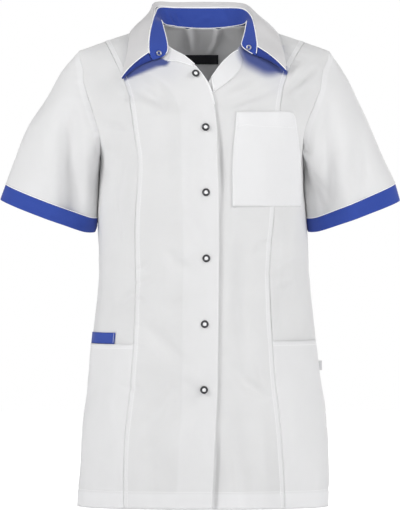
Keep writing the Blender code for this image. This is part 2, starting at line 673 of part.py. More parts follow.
def collar_wall(name, lines, places, ways, low, high, paint):
    """A layer of the collar between two lifts off its middle."""
    step = 0.02

    def lifted(lift):
        grid = []
        for at in places:
            row = []
            for way in ways(at):
                point = collar_point(lines, at, way)
                side_way = collar_point(lines, at + step, way) - collar_point(lines, at - step, way)
                up_way = collar_point(lines, at, way + step) - collar_point(lines, at, way - step)
                row.append(point + side_way.cross(up_way).normalized() * lift)
            grid.append(row)
        return grid
    return closed_wall(name, lifted(low), lifted(high), paint)


def build_collar():
    """Two layers each for the stand and the leaf, 0.3 mm apart."""
    lines = collar_lines()
    last = len(COLLAR) - 1
    places = [0.0, 0.45] + [1 + (last - 2) * i / 26 for i in range(27)] + [last - 0.45, last]
    leaf_places = places[2:-2]
    near = SEAM * 0.9
    far = near + WALL

    def stand_ways(at):
        top = 1 - strip_share(at)
        return [top * i / 3 for i in range(4)]

    leaf_ways = [1.05, 1.35, 1.65, 2.0, 2.25, 2.5, 2.75, 3.0]

    def upper_ways(at):
        return [1.024 - strip_share(at), 0.998] + leaf_ways

    collar_wall("stand_inner", lines, places, stand_ways, near, far, BLUE)
    collar_wall("stand_outer", lines, leaf_places, lambda at: [0.07, 0.36, 0.66, 0.96],
                -far - SEAM, -near - SEAM, WHITE)
    collar_wall("collar_upper", lines, leaf_places, upper_ways, near, far, WHITE)
    collar_wall("collar_under", lines, places, lambda at: leaf_ways, -far, -near, BLUE)


def marked_spots(left, right, columns):
    """A grid of turns and levels between two lines of marks of equal count."""
    rows = []
    for a, b in zip(left, right):
        rows.append([seen(FRONT, mix(a.x, b.x, i / columns), mix(a.z, b.z, i / columns))
                     for i in range(columns + 1)])
    return rows


def resampled(marks, count):
    """The line through some marks as a given number of them."""
    axes = list(zip(*marks))
    places = np.linspace(0, len(marks) - 1, count)
    return [Mark(*(float(np.interp(at, range(len(marks)), values)) for values in axes)) for at in places]


def build_facings():
    """The front facings, only where they turn out along the neck."""
    low = HALF_WALL + 2 * SEAM
    right = marked_spots(resampled(FACING_EDGE_RIGHT, 7), resampled(FACING_FOLD_RIGHT, 7), 2)
    left = marked_spots(resampled(FACING_EDGE_LEFT, 8), resampled(FACING_FOLD_LEFT, 8), 3)
    body_wall("facing_right", FRONT, right, WHITE, low, low + WALL)
    body_wall("facing_left", FRONT, left, WHITE, low, low + WALL, shift=under_shift)


def build_chest_pocket():
    """The breast pocket lies over both left fronts, so its grid is made of theirs."""
    rows = [level for level in panel_levels("left") if CHEST_POCKET_FOOT <= level <= chest_pocket_top()]
    front = panel_grid(FRONT, rows, front_left_lines(), (4, 5), flat_level)
    side = panel_grid(FRONT, rows, side_left_lines(), (4, 3), flat_level)
    grid = [a[4:] + b[1:5] for a, b in zip(front, side)]
    body_wall("pocket_chest", FRONT, grid, WHITE, ON_PANEL, ON_PANEL + WALL)


def build_lower_pockets():
    """The large pockets fill the side fronts from the hem to their straight mouths."""
    for word, lines, counts, top in (("right", side_right_lines(), (5, 2), POCKET_TOP_RIGHT),
                                     ("left", side_left_lines(), (4, 3), POCKET_TOP_LEFT)):
        rows = [level for level in panel_levels(word) if level <= top]
        body_wall("pocket_" + word, FRONT, panel_grid(FRONT, rows, lines, counts), WHITE,
                  ON_PANEL, ON_PANEL + WALL)


def build_tab():
    rows = [TAB_FOOT, TAB_TOP]
    grid = [row[:6] for row in panel_grid(FRONT, rows, side_right_lines(), (5, 2))]
    body_wall("tab_blue", FRONT, grid, BLUE, ON_PANEL, ON_PANEL + WALL)


def build_label():
    grid = [[seen(BACK, x, z) for x in LABEL_COLUMNS] for z in LABEL_ROWS]
    body_wall("label_neck", BACK, grid, DARK, -LABEL_DROP - WALL, -LABEL_DROP)


def build_side_tag():
    bm = bmesh.new()
    left = torso(FRONT, 90, TAG_HEIGHT).x + HALF_WALL + 4 * SEAM
    place = Matrix.Translation((left + TAG_SIZE[0] / 2, TAG_SIZE[1], TAG_HEIGHT))
    bmesh.ops.create_cube(bm, size=1, matrix=place @ Matrix.Diagonal((*TAG_SIZE, 1.0)))
    mesh = bpy.data.meshes.new("tag_side")
    bm.to_mesh(mesh)
    bm.free()
    finished("tag_side", mesh, WHITE)


def ring_profile(outer, inner, height):
    """Half of the ring snap's round section, from its inner foot over the top to its outer foot."""
    middle = (outer + inner) / 2
    half = (outer - inner) / 2
    profile = [Vector((inner, 0, 0))]
    for i in range(5):
        turn = math.pi * (1 - i / 4)
        profile.append(Vector((middle + half * math.cos(turn), 0, height * (0.35 + 0.65 * math.sin(turn)))))
    profile.append(Vector((outer, 0, 0)))
    return profile


def build_snap(name, place, normal, size=1.0):
    """An open ring cap that stands on the cloth; the cloth shows inside it."""
    bm = bmesh.new()
    profile = [bm.verts.new(point * size) for point in ring_profile(RING_OUTER, RING_INNER, RING_HEIGHT)]
    edges = [bm.edges.new((profile[i - 1], profile[i])) for i in range(len(profile))]
    bmesh.ops.spin(bm, geom=profile + edges, cent=(0, 0, 0), axis=(0, 0, 1), angle=math.tau, steps=RING_SIDES,
                   use_merge=True)
    bmesh.ops.remove_doubles(bm, verts=bm.verts, dist=1e-5)
    bmesh.ops.recalc_face_normals(bm, faces=bm.faces)
    turn = Vector((0, 0, 1)).rotation_difference(normal).to_matrix().to_4x4()
    bm.transform(Matrix.Translation(place) @ turn)
    mesh = bpy.data.meshes.new(name)
    bm.to_mesh(mesh)
    bm.free()
    finished(name, mesh, STEEL)


def build_snaps():
    lift = HALF_WALL + 2 * SEAM
    for number, mark in enumerate(SNAPS, 1):
        turn, level = seen(FRONT, mark.x, mark.z)
        build_snap("snap_%d" % number, on_body(FRONT, turn, level, lift), torso_normal(FRONT, turn, level))
    turn, level = seen(FRONT, SNAP_NECK.x, SNAP_NECK.z)
    tipped = (torso_normal(FRONT, turn, level) + Vector((SNAP_NECK_TIP, 0, 0))).normalized()
    build_snap("snap_neck", on_body(FRONT, turn, level, lift + RING_OUTER * SNAP_NECK_TIP), tipped)
    lines = collar_lines()
    last = len(COLLAR) - 1
    step = 0.02
    for word, at in (("right", STAND_SNAP), ("left", last - STAND_SNAP)):
        middle = collar_point(lines, at, STAND_SNAP_UP)
        across = collar_point(lines, at + step, STAND_SNAP_UP) - collar_point(lines, at - step, STAND_SNAP_UP)
        up = collar_point(lines, at, STAND_SNAP_UP + step) - collar_point(lines, at, STAND_SNAP_UP - step)
        normal = across.cross(up).normalized()
        build_snap("snap_stand_" + word, middle + normal * (WALL + 3 * SEAM), normal, STAND_SNAP_SIZE)


def main():
    clear_scene()
    build_fronts()
    build_side_fronts()
    build_back()
    build_sleeve("right", SLEEVE_RIGHT, CREASES_RIGHT, ARMHOLE_RIGHT, BACK_ARMHOLE_RIGHT, -1)
    build_sleeve("left", SLEEVE_LEFT, CREASES_LEFT, ARMHOLE_LEFT, BACK_ARMHOLE_LEFT, 1)
    build_collar()
    build_facings()
    build_chest_pocket()
    build_lower_pockets()
    build_tab()
    build_label()
    build_side_tag()
    build_snaps()


main()
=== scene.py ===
import math

import bmesh
import bpy
import numpy as np
from mathutils import Matrix, Vector, noise
from mathutils.bvhtree import BVHTree


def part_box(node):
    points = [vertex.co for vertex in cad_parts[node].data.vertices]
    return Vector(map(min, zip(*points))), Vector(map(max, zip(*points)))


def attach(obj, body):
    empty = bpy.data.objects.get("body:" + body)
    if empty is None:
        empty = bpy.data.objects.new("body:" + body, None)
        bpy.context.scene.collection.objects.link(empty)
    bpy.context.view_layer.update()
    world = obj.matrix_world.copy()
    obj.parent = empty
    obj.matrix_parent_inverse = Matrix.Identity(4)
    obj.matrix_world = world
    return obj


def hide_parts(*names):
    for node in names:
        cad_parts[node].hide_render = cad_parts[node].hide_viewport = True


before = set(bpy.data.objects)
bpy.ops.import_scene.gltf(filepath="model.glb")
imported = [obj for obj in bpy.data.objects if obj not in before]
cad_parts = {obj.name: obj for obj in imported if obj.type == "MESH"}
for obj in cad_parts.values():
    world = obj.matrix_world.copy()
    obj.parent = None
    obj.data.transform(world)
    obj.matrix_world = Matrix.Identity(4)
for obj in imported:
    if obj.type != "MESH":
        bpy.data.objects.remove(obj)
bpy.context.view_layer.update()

# Centre fronts: two long panels of smooth white polyester and cotton twill. The right one laps over the left
# one down the middle, its edge turned in over a facing 56 mm wide. Both are sewn to the side fronts with
# seams that are pressed towards the middle and stitched down.
SOLID_WALL = 0.0012  # the frame's cloth walls
CLOTH = 0.0007
RIB = 0.00055
SEAM_BAND = 0.0085
SEAM_STITCH = 0.0065
HEM = 0.0270
FACING = 0.0565
# Soft creases of the fronts as they are seen from in front, in metres: x0, z0, x1, z1, half width, depth.
FRONT_CREASES = (
    (-0.133, -0.056, -0.118, -0.096, 0.006, -0.0027),
    (-0.127, -0.095, -0.111, -0.099, 0.0057, -0.0041),
    (-0.15, -0.1385, -0.119, -0.1445, 0.004, -0.0035),
    (-0.15, -0.17, -0.133, -0.2, 0.006, -0.0023),
    (-0.101, -0.085, -0.064, -0.104, 0.0092, -0.0054),
    (-0.083, -0.069, -0.056, -0.094, 0.008, -0.0049),
    (-0.096, -0.132, -0.056, -0.125, 0.006, 0.0019),
    (-0.124, -0.205, -0.133, -0.29, 0.006, 0.0023),
    (-0.142, -0.235, -0.129, -0.325, 0.0055, -0.0023),
    (-0.106, -0.364, -0.087, -0.356, 0.004, -0.003),
    (-0.108, -0.388, -0.079, -0.376, 0.0045, -0.003),
    (-0.104, -0.412, -0.09, -0.408, 0.0035, -0.0024),
    (-0.128, -0.415, -0.106, -0.398, 0.0045, -0.0027),
    (-0.126, -0.543, -0.098, -0.5475, 0.003, -0.0035),
    (-0.044, -0.26, -0.008, -0.308, 0.012, -0.0027),
    (-0.05, -0.355, -0.012, -0.336, 0.011, 0.003),
    (-0.062, -0.43, -0.028, -0.408, 0.012, -0.0035),
    (-0.026, -0.524, 0.002, -0.542, 0.008, 0.0035),
    (-0.052, -0.57, -0.035, -0.7, 0.015, 0.0032),
    (-0.086, -0.6, -0.08, -0.735, 0.013, -0.0032),
    (-0.142, -0.57, -0.138, -0.64, 0.011, 0.003),
    (-0.149, -0.645, -0.153, -0.72, 0.012, -0.0027),
    (0.049, -0.109, 0.109, -0.083, 0.0057, -0.0041),
    (0.038, -0.095, 0.086, -0.072, 0.008, -0.0049),
    (0.056, -0.118, 0.082, -0.113, 0.0046, -0.0028),
    (0.128, -0.093, 0.172, -0.053, 0.0057, -0.0049),
    (0.13, -0.07, 0.155, -0.042, 0.0057, 0.0031),
    (0.03, -0.17, 0.036, -0.26, 0.009, -0.0023),
    (0.098, -0.372, 0.144, -0.346, 0.005, -0.0032),
    (0.112, -0.39, 0.143, -0.373, 0.0045, -0.003),
    (0.134, -0.371, 0.136, -0.405, 0.005, -0.0027),
    (0.082, -0.335, 0.108, -0.315, 0.005, -0.0027),
    (0.056, -0.38, 0.05, -0.47, 0.013, -0.0034),
    (0.118, -0.41, 0.108, -0.456, 0.006, 0.0027),
    (0.081, -0.551, 0.105, -0.559, 0.0035, -0.0032),
    (0.06, -0.535, 0.098, -0.552, 0.007, -0.0035),
    (0.034, -0.55, 0.042, -0.65, 0.013, -0.0032),
    (-0.0515, -0.55, -0.0974, -0.608, 0.01, -0.0032),
    (0.09, -0.6, 0.096, -0.73, 0.012, 0.0035),
    (0.056, -0.65, 0.06, -0.735, 0.011, -0.0035),
    (0.14, -0.58, 0.146, -0.7, 0.013, 0.003),
    (0.035, -0.098, 0.115, -0.076, 0.012, -0.0054),
    (0.03, -0.112, 0.07, -0.096, 0.006, -0.0032),
    (-0.115, -0.085, -0.045, -0.105, 0.012, -0.0046),
    (-0.095, -0.078, -0.06, -0.112, 0.006, -0.003),
    (0.0066, -0.5424, -0.102, -0.657, 0.016, -0.0061),
    (0.035, -0.498, 0.089, -0.562, 0.012, -0.0047),
    (0.05, -0.58, 0.056, -0.7, 0.016, -0.0061),
    (-0.098, -0.44, -0.03, -0.508, 0.013, -0.0049),
    (0.0585, -0.33, 0.064, -0.52, 0.011, -0.0047),
    (-0.064, -0.33, -0.02, -0.37, 0.011, -0.0041),
    (-0.036, -0.13, -0.03, -0.3, 0.015, 0.0041),
    (-0.13, -0.15, -0.134, -0.33, 0.01, -0.0032),
    (0.124, -0.29, 0.118, -0.44, 0.009, -0.0035),
)


def mesh_of(name, bm):
    """A mesh from a finished bmesh."""
    mesh = bpy.data.meshes.new(name)
    bm.to_mesh(mesh)
    bm.free()
    return mesh


def placed(name, data):
    """An object in the scene, at the origin."""
    made = bpy.data.objects.new(name, data)
    bpy.context.scene.collection.objects.link(made)
    return made


def open_sheet(name, node, levels, towards=None):
    """The outer face of one of the frame's walls, or the one that looks towards a way, as an open sheet."""
    bm = bmesh.new()
    bm.from_mesh(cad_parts[node].data)
    bmesh.ops.remove_doubles(bm, verts=bm.verts, dist=1e-5)
    rim = [face for face in bm.faces
           if any(abs(edge.calc_length() - SOLID_WALL) < 2e-5 for edge in face.edges)]
    bmesh.ops.delete(bm, geom=rim, context="FACES")
    left = dict.fromkeys(bm.faces)
    islands = []
    while left:
        found = [next(iter(left))]
        del left[found[0]]
        for face in found:
            for edge in face.edges:
                for other in edge.link_faces:
                    if other in left:
                        del left[other]
                        found.append(other)
        islands.append(found)
    if towards:
        kept = max(islands, key=lambda faces: sum(f.normal.dot(towards) * f.calc_area() for f in faces))
    else:
        kept = max(islands, key=lambda faces: sum(f.calc_area() for f in faces))
    kept = set(kept)
    bmesh.ops.delete(bm, geom=[face for face in bm.faces if face not in kept], context="FACES")
    bmesh.ops.dissolve_degenerate(bm, dist=1e-4, edges=bm.edges)
    bmesh.ops.join_triangles(bm, faces=bm.faces, angle_face_threshold=math.pi, angle_shape_threshold=math.pi)
    bmesh.ops.holes_fill(bm, edges=bm.edges, sides=5)
    piece = placed(name, mesh_of(name, bm))
    smoother = piece.modifiers.new("smooth", "SUBSURF")
    smoother.levels = smoother.render_levels = levels
    smoother.boundary_smooth = "PRESERVE_CORNERS"
    settle(piece)
    return piece


def settle(piece):
    """Applies a piece's modifiers."""
    shown = piece.evaluated_get(bpy.context.evaluated_depsgraph_get())
    mesh = bpy.data.meshes.new_from_object(shown)
    piece.modifiers.clear()
    piece.data = mesh
    mesh.name = piece.name


def places_of(mesh):
    found = np.zeros(len(mesh.vertices) * 3)
    mesh.vertices.foreach_get("co", found)
    return found.reshape(-1, 3)


def normals_of(mesh):
    found = np.zeros(len(mesh.vertices) * 3)
    mesh.vertex_normals.foreach_get("vector", found)
    return found.reshape(-1, 3)


def push(piece, depth):
    """Moves a sheet's points out along their normals."""
    mesh = piece.data
    moved = places_of(mesh) + normals_of(mesh) * np.asarray(depth)[:, None]
    mesh.vertices.foreach_set("co", moved.ravel())
    mesh.update()


def ease(share):
    share = np.clip(share, 0.0, 1.0)
    return share * share * (3 - 2 * share)


def creases(rows, across, up):
    """How far soft creases move the cloth out: each fades sideways and towards its ends."""
    total = np.zeros(len(across))
    for x0, z0, x1, z1, width, depth in rows:
        run = np.array((x1 - x0, z1 - z0))
        share = ((across - x0) * run[0] + (up - z0) * run[1]) / (run @ run)
        held = np.clip(share, 0, 1)
        away = np.hypot(across - x0 - held * run[0], up - z0 - held * run[1]) / width
        total += depth * np.exp(-away ** 2) * (0.35 + 0.65 * np.sin(math.pi * held))
    return total


def unevenness(points, size, height, seed):
    """The slight hills and hollows that no cloth is without."""
    shift = Vector((seed * 3.1, seed * 1.7, seed * 2.3))
    return np.array([noise.noise(Vector(point) / size + shift) for point in points]) * height


def borders(mesh):
    """A sheet's border as lists of points in order, split at its corners."""
    bm = bmesh.new()
    bm.from_mesh(mesh)
    bm.edges.ensure_lookup_table()
    todo = {edge.index: edge for edge in bm.edges if edge.is_boundary}
    corners = []
    for vert in bm.verts:
        rims = [edge.other_vert(vert).co - vert.co for edge in vert.link_edges if edge.is_boundary]
        if len(rims) == 2 and rims[0].angle(rims[1], 0) < 2.3:
            corners.append(vert)
    ends = set(corners)
    lines = []
    while todo:
        starts = [vert for vert in corners if any(edge.index in todo for edge in vert.link_edges)]
        vert = starts[0] if starts else next(iter(todo.values())).verts[0]
        line = [vert.index]
        while True:
            edge = next((edge for edge in vert.link_edges if edge.index in todo), None)
            if edge is None:
                break
            del todo[edge.index]
            vert = edge.other_vert(vert)
            line.append(vert.index)
            if vert in ends:
                break
        lines.append(line)
    bm.free()
    return lines


def border_lines(piece):
    points = places_of(piece.data)
    return [points[line] for line in borders(piece.data)]


def border(piece, axis, last):
    """The points of the side of a sheet that lies first or last along an axis."""
    return sorted(border_lines(piece), key=lambda line: line[:, axis].mean())[-1 if last else 0]


def away_from(points, line):
    """How far each point is from a line of points."""
    start, run = line[:-1], line[1:] - line[:-1]
    size = np.maximum((run ** 2).sum(1), 1e-12)
    nearest = np.full(len(points), 1e9)
    for a, b, c in zip(start, run, size):
        share = np.clip(((points - a) @ b) / c, 0, 1)
        nearest = np.minimum(nearest, np.linalg.norm(points - a - share[:, None] * b, axis=1))
    return nearest


def groove(points, line, depth=0.0006, width=0.0018):
    return -depth * np.exp(-(away_from(points, line) / width) ** 2)


def band(points, line, width, rise=0.0004, soft=0.0018):
    """The extra layers beside a seam or in a hem."""
    return rise * ease((width - away_from(points, line)) / soft)


def puckers(points, line, rise=0.00035, reach=0.012, step=0.011):
    """The small ripples that a seam's stitching draws up beside it."""
    away = away_from(points, line)
    run = points[:, 2] + 0.4 * points[:, 0]
    wave = np.sin(run / step * math.tau + 2.2 * np.sin(run / 0.041)) * np.sin(run / 0.083 + 1.0)
    waist = 1 + 2.5 * np.exp(-((points[:, 2] + 0.390) / 0.035) ** 2)
    return rise * waist * wave * np.exp(-(away / reach) ** 2)


def weave_map(piece, across, up):
    """Lays the cloth's grain over a sheet, in metres."""
    mesh = piece.data
    layer = mesh.uv_layers.new(name="grain")
    spots = np.zeros(len(mesh.loops), int)
    mesh.loops.foreach_get("vertex_index", spots)
    layer.data.foreach_set("uv", np.stack((across[spots], up[spots]), 1).ravel())


def body_grain(piece):
    points = places_of(piece.data)
    side = 1.0 if points[:, 1].mean() > 0 else -1.0
    weave_map(piece, 0.150 * np.arctan2(points[:, 0], side * points[:, 1] * 1.2),
              points[:, 2] - np.abs(points[:, 1]))


def new_paint(name):
    """A new material, with its nodes, its links and its shader."""
    made = bpy.data.materials.new(name)
    made.use_nodes = True
    tree = made.node_tree
    return made, tree.nodes, tree.links, tree.nodes["Principled BSDF"]


def mottled(nodes, links, scale, dark, light):
    """A fine noise on the object's own places, and a colour that varies with it."""
    spot = nodes.new("ShaderNodeTexCoord")
    noise_node = nodes.new("ShaderNodeTexNoise")
    noise_node.inputs["Scale"].default_value = scale
    links.new(spot.outputs["Object"], noise_node.inputs["Vector"])
    tone = nodes.new("ShaderNodeValToRGB")
    tone.color_ramp.elements[0].color = (*dark, 1)
    tone.color_ramp.elements[1].color = (*light, 1)
    links.new(noise_node.outputs[0], tone.inputs[0])
    return noise_node.outputs[0], tone.outputs[0]


def twill_group():
    """Diagonal ribs of twill with fine yarn across them, and the slight unevenness of woven yarn."""
    group = bpy.data.node_groups.new("twill", "ShaderNodeTree")
    group.interface.new_socket("Rib", in_out="INPUT", socket_type="NodeSocketFloat")
    group.interface.new_socket("Height", in_out="OUTPUT", socket_type="NodeSocketFloat")
    group.interface.new_socket("Shade", in_out="OUTPUT", socket_type="NodeSocketFloat")
    nodes, links = group.nodes, group.links
    given = nodes.new("NodeGroupInput")
    made = nodes.new("NodeGroupOutput")
    spot = nodes.new("ShaderNodeTexCoord")
    parts = nodes.new("ShaderNodeSeparateXYZ")
    links.new(spot.outputs["UV"], parts.inputs[0])

    def maths(kind, a, b=None):
        node = nodes.new("ShaderNodeMath")
        node.operation = kind
        for socket, value in zip(node.inputs, (a, b)):
            if isinstance(value, (int, float)):
                socket.default_value = value
            elif value is not None:
                links.new(value, socket)
        return node.outputs[0]

    across = maths("DIVIDE", parts.outputs[0], given.outputs["Rib"])
    up = maths("DIVIDE", parts.outputs[1], given.outputs["Rib"])
    ribs = maths("SINE", maths("MULTIPLY", maths("ADD", across, up), math.tau * 0.7))
    steep = maths("SUBTRACT", across, maths("MULTIPLY", up, 0.4))
    yarn = maths("SINE", maths("MULTIPLY", steep, math.tau * 1.3))
    slub = nodes.new("ShaderNodeTexNoise")
    slub.inputs["Scale"].default_value = 900
    slub.inputs["Detail"].default_value = 2
    links.new(spot.outputs["Object"], slub.inputs["Vector"])
    cloud = nodes.new("ShaderNodeTexNoise")
    cloud.inputs["Scale"].default_value = 14
    cloud.inputs["Detail"].default_value = 3
    links.new(spot.outputs["Object"], cloud.inputs["Vector"])
    height = maths("ADD", maths("MULTIPLY", ribs, 0.5), maths("MULTIPLY", yarn, 0.22))
    height = maths("ADD", height, maths("MULTIPLY", slub.outputs[0], 0.7))
    links.new(height, made.inputs["Height"])
    shade = maths("ADD", maths("MULTIPLY", cloud.outputs[0], 0.7), maths("MULTIPLY", slub.outputs[0], 0.3))
    links.new(shade, made.inputs["Shade"])
    return group


TWILL = twill_group()


def cloth(name, dark, light, rough=0.88, sheen=0.08, double=None, glow=None):
    """Twill, a touch uneven in colour. Double is its tone in two layers, which some pieces also take in part
    as painted light; glow is its tone where the collar's painted shade, tinted blue as a painted reflection,
    falls.
    """
    made, nodes, links, shader = new_paint(name)
    shader.inputs["Roughness"].default_value = rough
    shader.inputs["Sheen Weight"].default_value = sheen
    shader.inputs["Specular IOR Level"].default_value = 0.25
    weave = nodes.new("ShaderNodeGroup")
    weave.node_tree = TWILL
    weave.inputs["Rib"].default_value = RIB
    dye = nodes.new("ShaderNodeValToRGB")
    dye.color_ramp.elements[0].position = 0.3
    dye.color_ramp.elements[0].color = (*dark, 1)
    dye.color_ramp.elements[1].position = 0.7
    dye.color_ramp.elements[1].color = (*light, 1)
    links.new(weave.outputs["Shade"], dye.inputs[0])
    colour = dye.outputs[0]
    for layer, tone in (("layers", double), ("collar_painted_shade", glow)):
        if tone:
            mask = nodes.new("ShaderNodeAttribute")
            mask.attribute_name = layer
            tint = nodes.new("ShaderNodeMix")
            tint.data_type = "RGBA"
            links.new(mask.outputs["Fac"], tint.inputs["Factor"])
            links.new(colour, tint.inputs["A"])
            tint.inputs["B"].default_value = (*tone, 1)
            colour = tint.outputs["Result"]
    links.new(colour, shader.inputs["Base Color"])
    bump = nodes.new("ShaderNodeBump")
    bump.inputs["Strength"].default_value = 0.35
    bump.inputs["Distance"].default_value = 0.0001
    links.new(weave.outputs["Height"], bump.inputs["Height"])
    links.new(bump.outputs[0], shader.inputs["Normal"])
    return made


def glow_as_painted_light(paint, strength):
    """Painted light: a faint white glow, so that turned edges and thread stay white in flat light, though
    they are no lamp.
    """
    shader = paint.node_tree.nodes["Principled BSDF"]
    shader.inputs["Emission Color"].default_value = (1, 1, 1, 1)
    shader.inputs["Emission Strength"].default_value = strength


SINGLE = ((0.745, 0.745, 0.748), (0.790, 0.790, 0.793))
DOUBLE = (0.850, 0.850, 0.860)
WHITE_TWILL = cloth("white_twill", *SINGLE, double=DOUBLE)
# White twill that carries the collar's painted shade, tinted blue as a painted reflection of the under
# collar.
CHEST_TWILL_PAINTED_SHADE = cloth("white_twill_chest_painted_shade", *SINGLE, double=DOUBLE, glow=(0.040, 0.066, 0.260))
# Painted shade: the white twill made darker for the upper collar, which lies in shade.
COLLAR_TWILL_PAINTED_SHADE = cloth("white_twill_collar", (0.680, 0.672, 0.678), (0.740, 0.732, 0.738))
# Painted highlight: turned edges and rims are painted lighter than the cloth, and glow faintly.
WHITE_EDGE_PAINTED_HIGHLIGHT = cloth("white_turned_edge", (0.92, 0.92, 0.93), (0.96, 0.96, 0.97))
glow_as_painted_light(WHITE_EDGE_PAINTED_HIGHLIGHT, 0.10)
BLUE_TWILL = cloth("blue_twill", (0.030, 0.066, 0.345), (0.042, 0.086, 0.415), sheen=0.13)
# Painted shade: the same blue twill made darker, for the under collar and the centres of the stand's snaps.
BLUE_TWILL_PAINTED_SHADE = cloth("blue_twill_painted_shade", (0.026, 0.050, 0.270), (0.036, 0.068, 0.330), sheen=0.1)


def finish_cloth(piece, paint, node, thick=CLOTH):
    """Gives a sheet its thickness and material, and sets it in the place of its solid."""
    mesh = piece.data
    mesh.shade_smooth()
    mesh.materials.clear()
    mesh.materials.append(paint)
    wall = piece.modifiers.new("thickness", "SOLIDIFY")
    wall.thickness = thick
    wall.offset = -1
    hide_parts(node)
    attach(piece, "root")
    return piece


def trim_piece(name, mesh, paint):
    """A small piece that needs no thickness, such as stitches or a rolled edge."""
    mesh.name = name
    mesh.shade_smooth()
    mesh.materials.clear()
    mesh.materials.append(paint)
    piece = placed(name, mesh)
    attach(piece, "root")
    return piece


def stitches(name, piece, line, inset, paint, step=0.0026, size=(0.00110, 0.00036, 0.00026), trim=0.001):
    """A row of stitches on a sheet, a given way in from a line of its border."""
    points = places_of(piece.data)
    faces = [tuple(face.vertices) for face in piece.data.polygons]
    tree = BVHTree.FromPolygons([Vector(point) for point in points], faces)
    gaps = np.linalg.norm(line[1:] - line[:-1], axis=1)
    run = np.concatenate(([0.0], np.cumsum(gaps)))
    count = max(int((run[-1] - 2 * trim) / step), 1)
    places = trim + (np.arange(count) + 0.5) * (run[-1] - 2 * trim) / count
    behind, spots, ahead = (np.stack([np.interp(places + shift, run, line[:, axis]) for axis in range(3)], 1)
                            for shift in (-0.001, 0, 0.001))
    ways = ahead - behind
    middle = points.mean(0)
    turn = 0.0
    for spot, way in zip(spots, ways):
        normal = tree.find_nearest(Vector(spot))[1]
        turn += normal.cross(Vector(way)).normalized().dot(Vector(middle - spot).normalized())
    sign = 1.0 if turn > 0 else -1.0
    bm = bmesh.new()
    for spot, way in zip(spots, ways):
        normal = tree.find_nearest(Vector(spot))[1]
        way = Vector(way).normalized()
        inward = normal.cross(way).normalized() * sign
        place, normal = tree.find_nearest(Vector(spot) + inward * inset)[:2]
        side = normal.cross(way).normalized()
        turned = Matrix((way, side, normal)).transposed().to_4x4()
        bmesh.ops.create_icosphere(bm, subdivisions=1, radius=1,
                                   matrix=Matrix.Translation(place) @ turned @ Matrix.Diagonal((*size, 1)))
    return trim_piece(name, mesh_of(name, bm), paint)


def thread_paint(name, colour):
    """Sewing thread, a little glossier than the cloth."""
    made, nodes, links, shader = new_paint(name)
    shader.inputs["Roughness"].default_value = 0.6
    dye = mottled(nodes, links, 2500, [value * 0.9 for value in colour], colour)[1]
    links.new(dye, shader.inputs["Base Color"])
    return made


WHITE_THREAD_PAINTED_GLOW = thread_paint("white_thread_painted_glow", (0.94, 0.94, 0.95))
# Painted light: the white thread glows faintly.
glow_as_painted_light(WHITE_THREAD_PAINTED_GLOW, 0.08)
BLUE_THREAD = thread_paint("blue_thread", (0.035, 0.07, 0.34))


def mark(piece, name, share):
    """Notes a share from 0 to 1 at each of a sheet's points, for its material."""
    layer = piece.data.attributes.new(name, "FLOAT", "POINT")
    layer.data.foreach_set("value", np.clip(share, 0, 1))


def doubled(points, line, width):
    """Where the cloth lies double beside a seam or in a hem."""
    return ease((width - away_from(points, line)) / 0.0025)


def worn(points, folds=FRONT_CREASES):
    """What all panels share, so that they and their pockets move together and still meet at their seams."""
    free = 0.3 + 0.7 * ease((-0.025 - points[:, 2]) / 0.045)
    hills = unevenness(points * (1, 1, 0.5), 0.050, 0.0042, 1) + unevenness(points, 0.024, 0.0007, 2)
    return creases(folds, points[:, 0], points[:, 2]) * ease(np.abs(points[:, 1]) / 0.025) + free * hills


# The leaves' front edges from tip to stand, as seen from in front, and how far below them the painted shade
# reaches, tinted with the under collar's blue as a painted reflection.
COLLAR_EDGES = (((-0.1268, -0.0665, 0.006), (-0.1, -0.049, 0.0118), (-0.079, -0.037, 0.015),
                 (-0.062, -0.04, 0.009)),
                ((0.076, -0.025, 0.013), (0.086, -0.023, 0.0295), (0.102, -0.033, 0.028),
                 (0.1272, -0.0549, 0.008)))


def collar_painted_shade(piece):
    """Painted shade and reflection: how much of the collar's shadow, tinted with the under collar's blue, is
    painted on the chest below it.
    """
    points = places_of(piece.data)[:, [0, 2]]
    shade = np.zeros(len(points))
    for edge in COLLAR_EDGES:
        for start, end in zip(edge, edge[1:]):
            run = np.array(end[:2]) - start[:2]
            share = np.clip((points - start[:2]) @ run / (run @ run), 0, 1)
            gap = points - start[:2] - share[:, None] * run
            away = np.linalg.norm(gap, axis=1)
            away[run[0] * gap[:, 1] - run[1] * gap[:, 0] > 0] *= 6
            reach = start[2] + (end[2] - start[2]) * share
            shade = np.maximum(shade, 0.96 * ease((reach * 1.45 - away) / (reach * 0.70)))
            # A fainter and wider skirt of painted shade below each edge.
            shade = np.maximum(shade, 0.13 * ease((0.055 - away) / 0.050))
    mark(piece, "collar_painted_shade", shade)


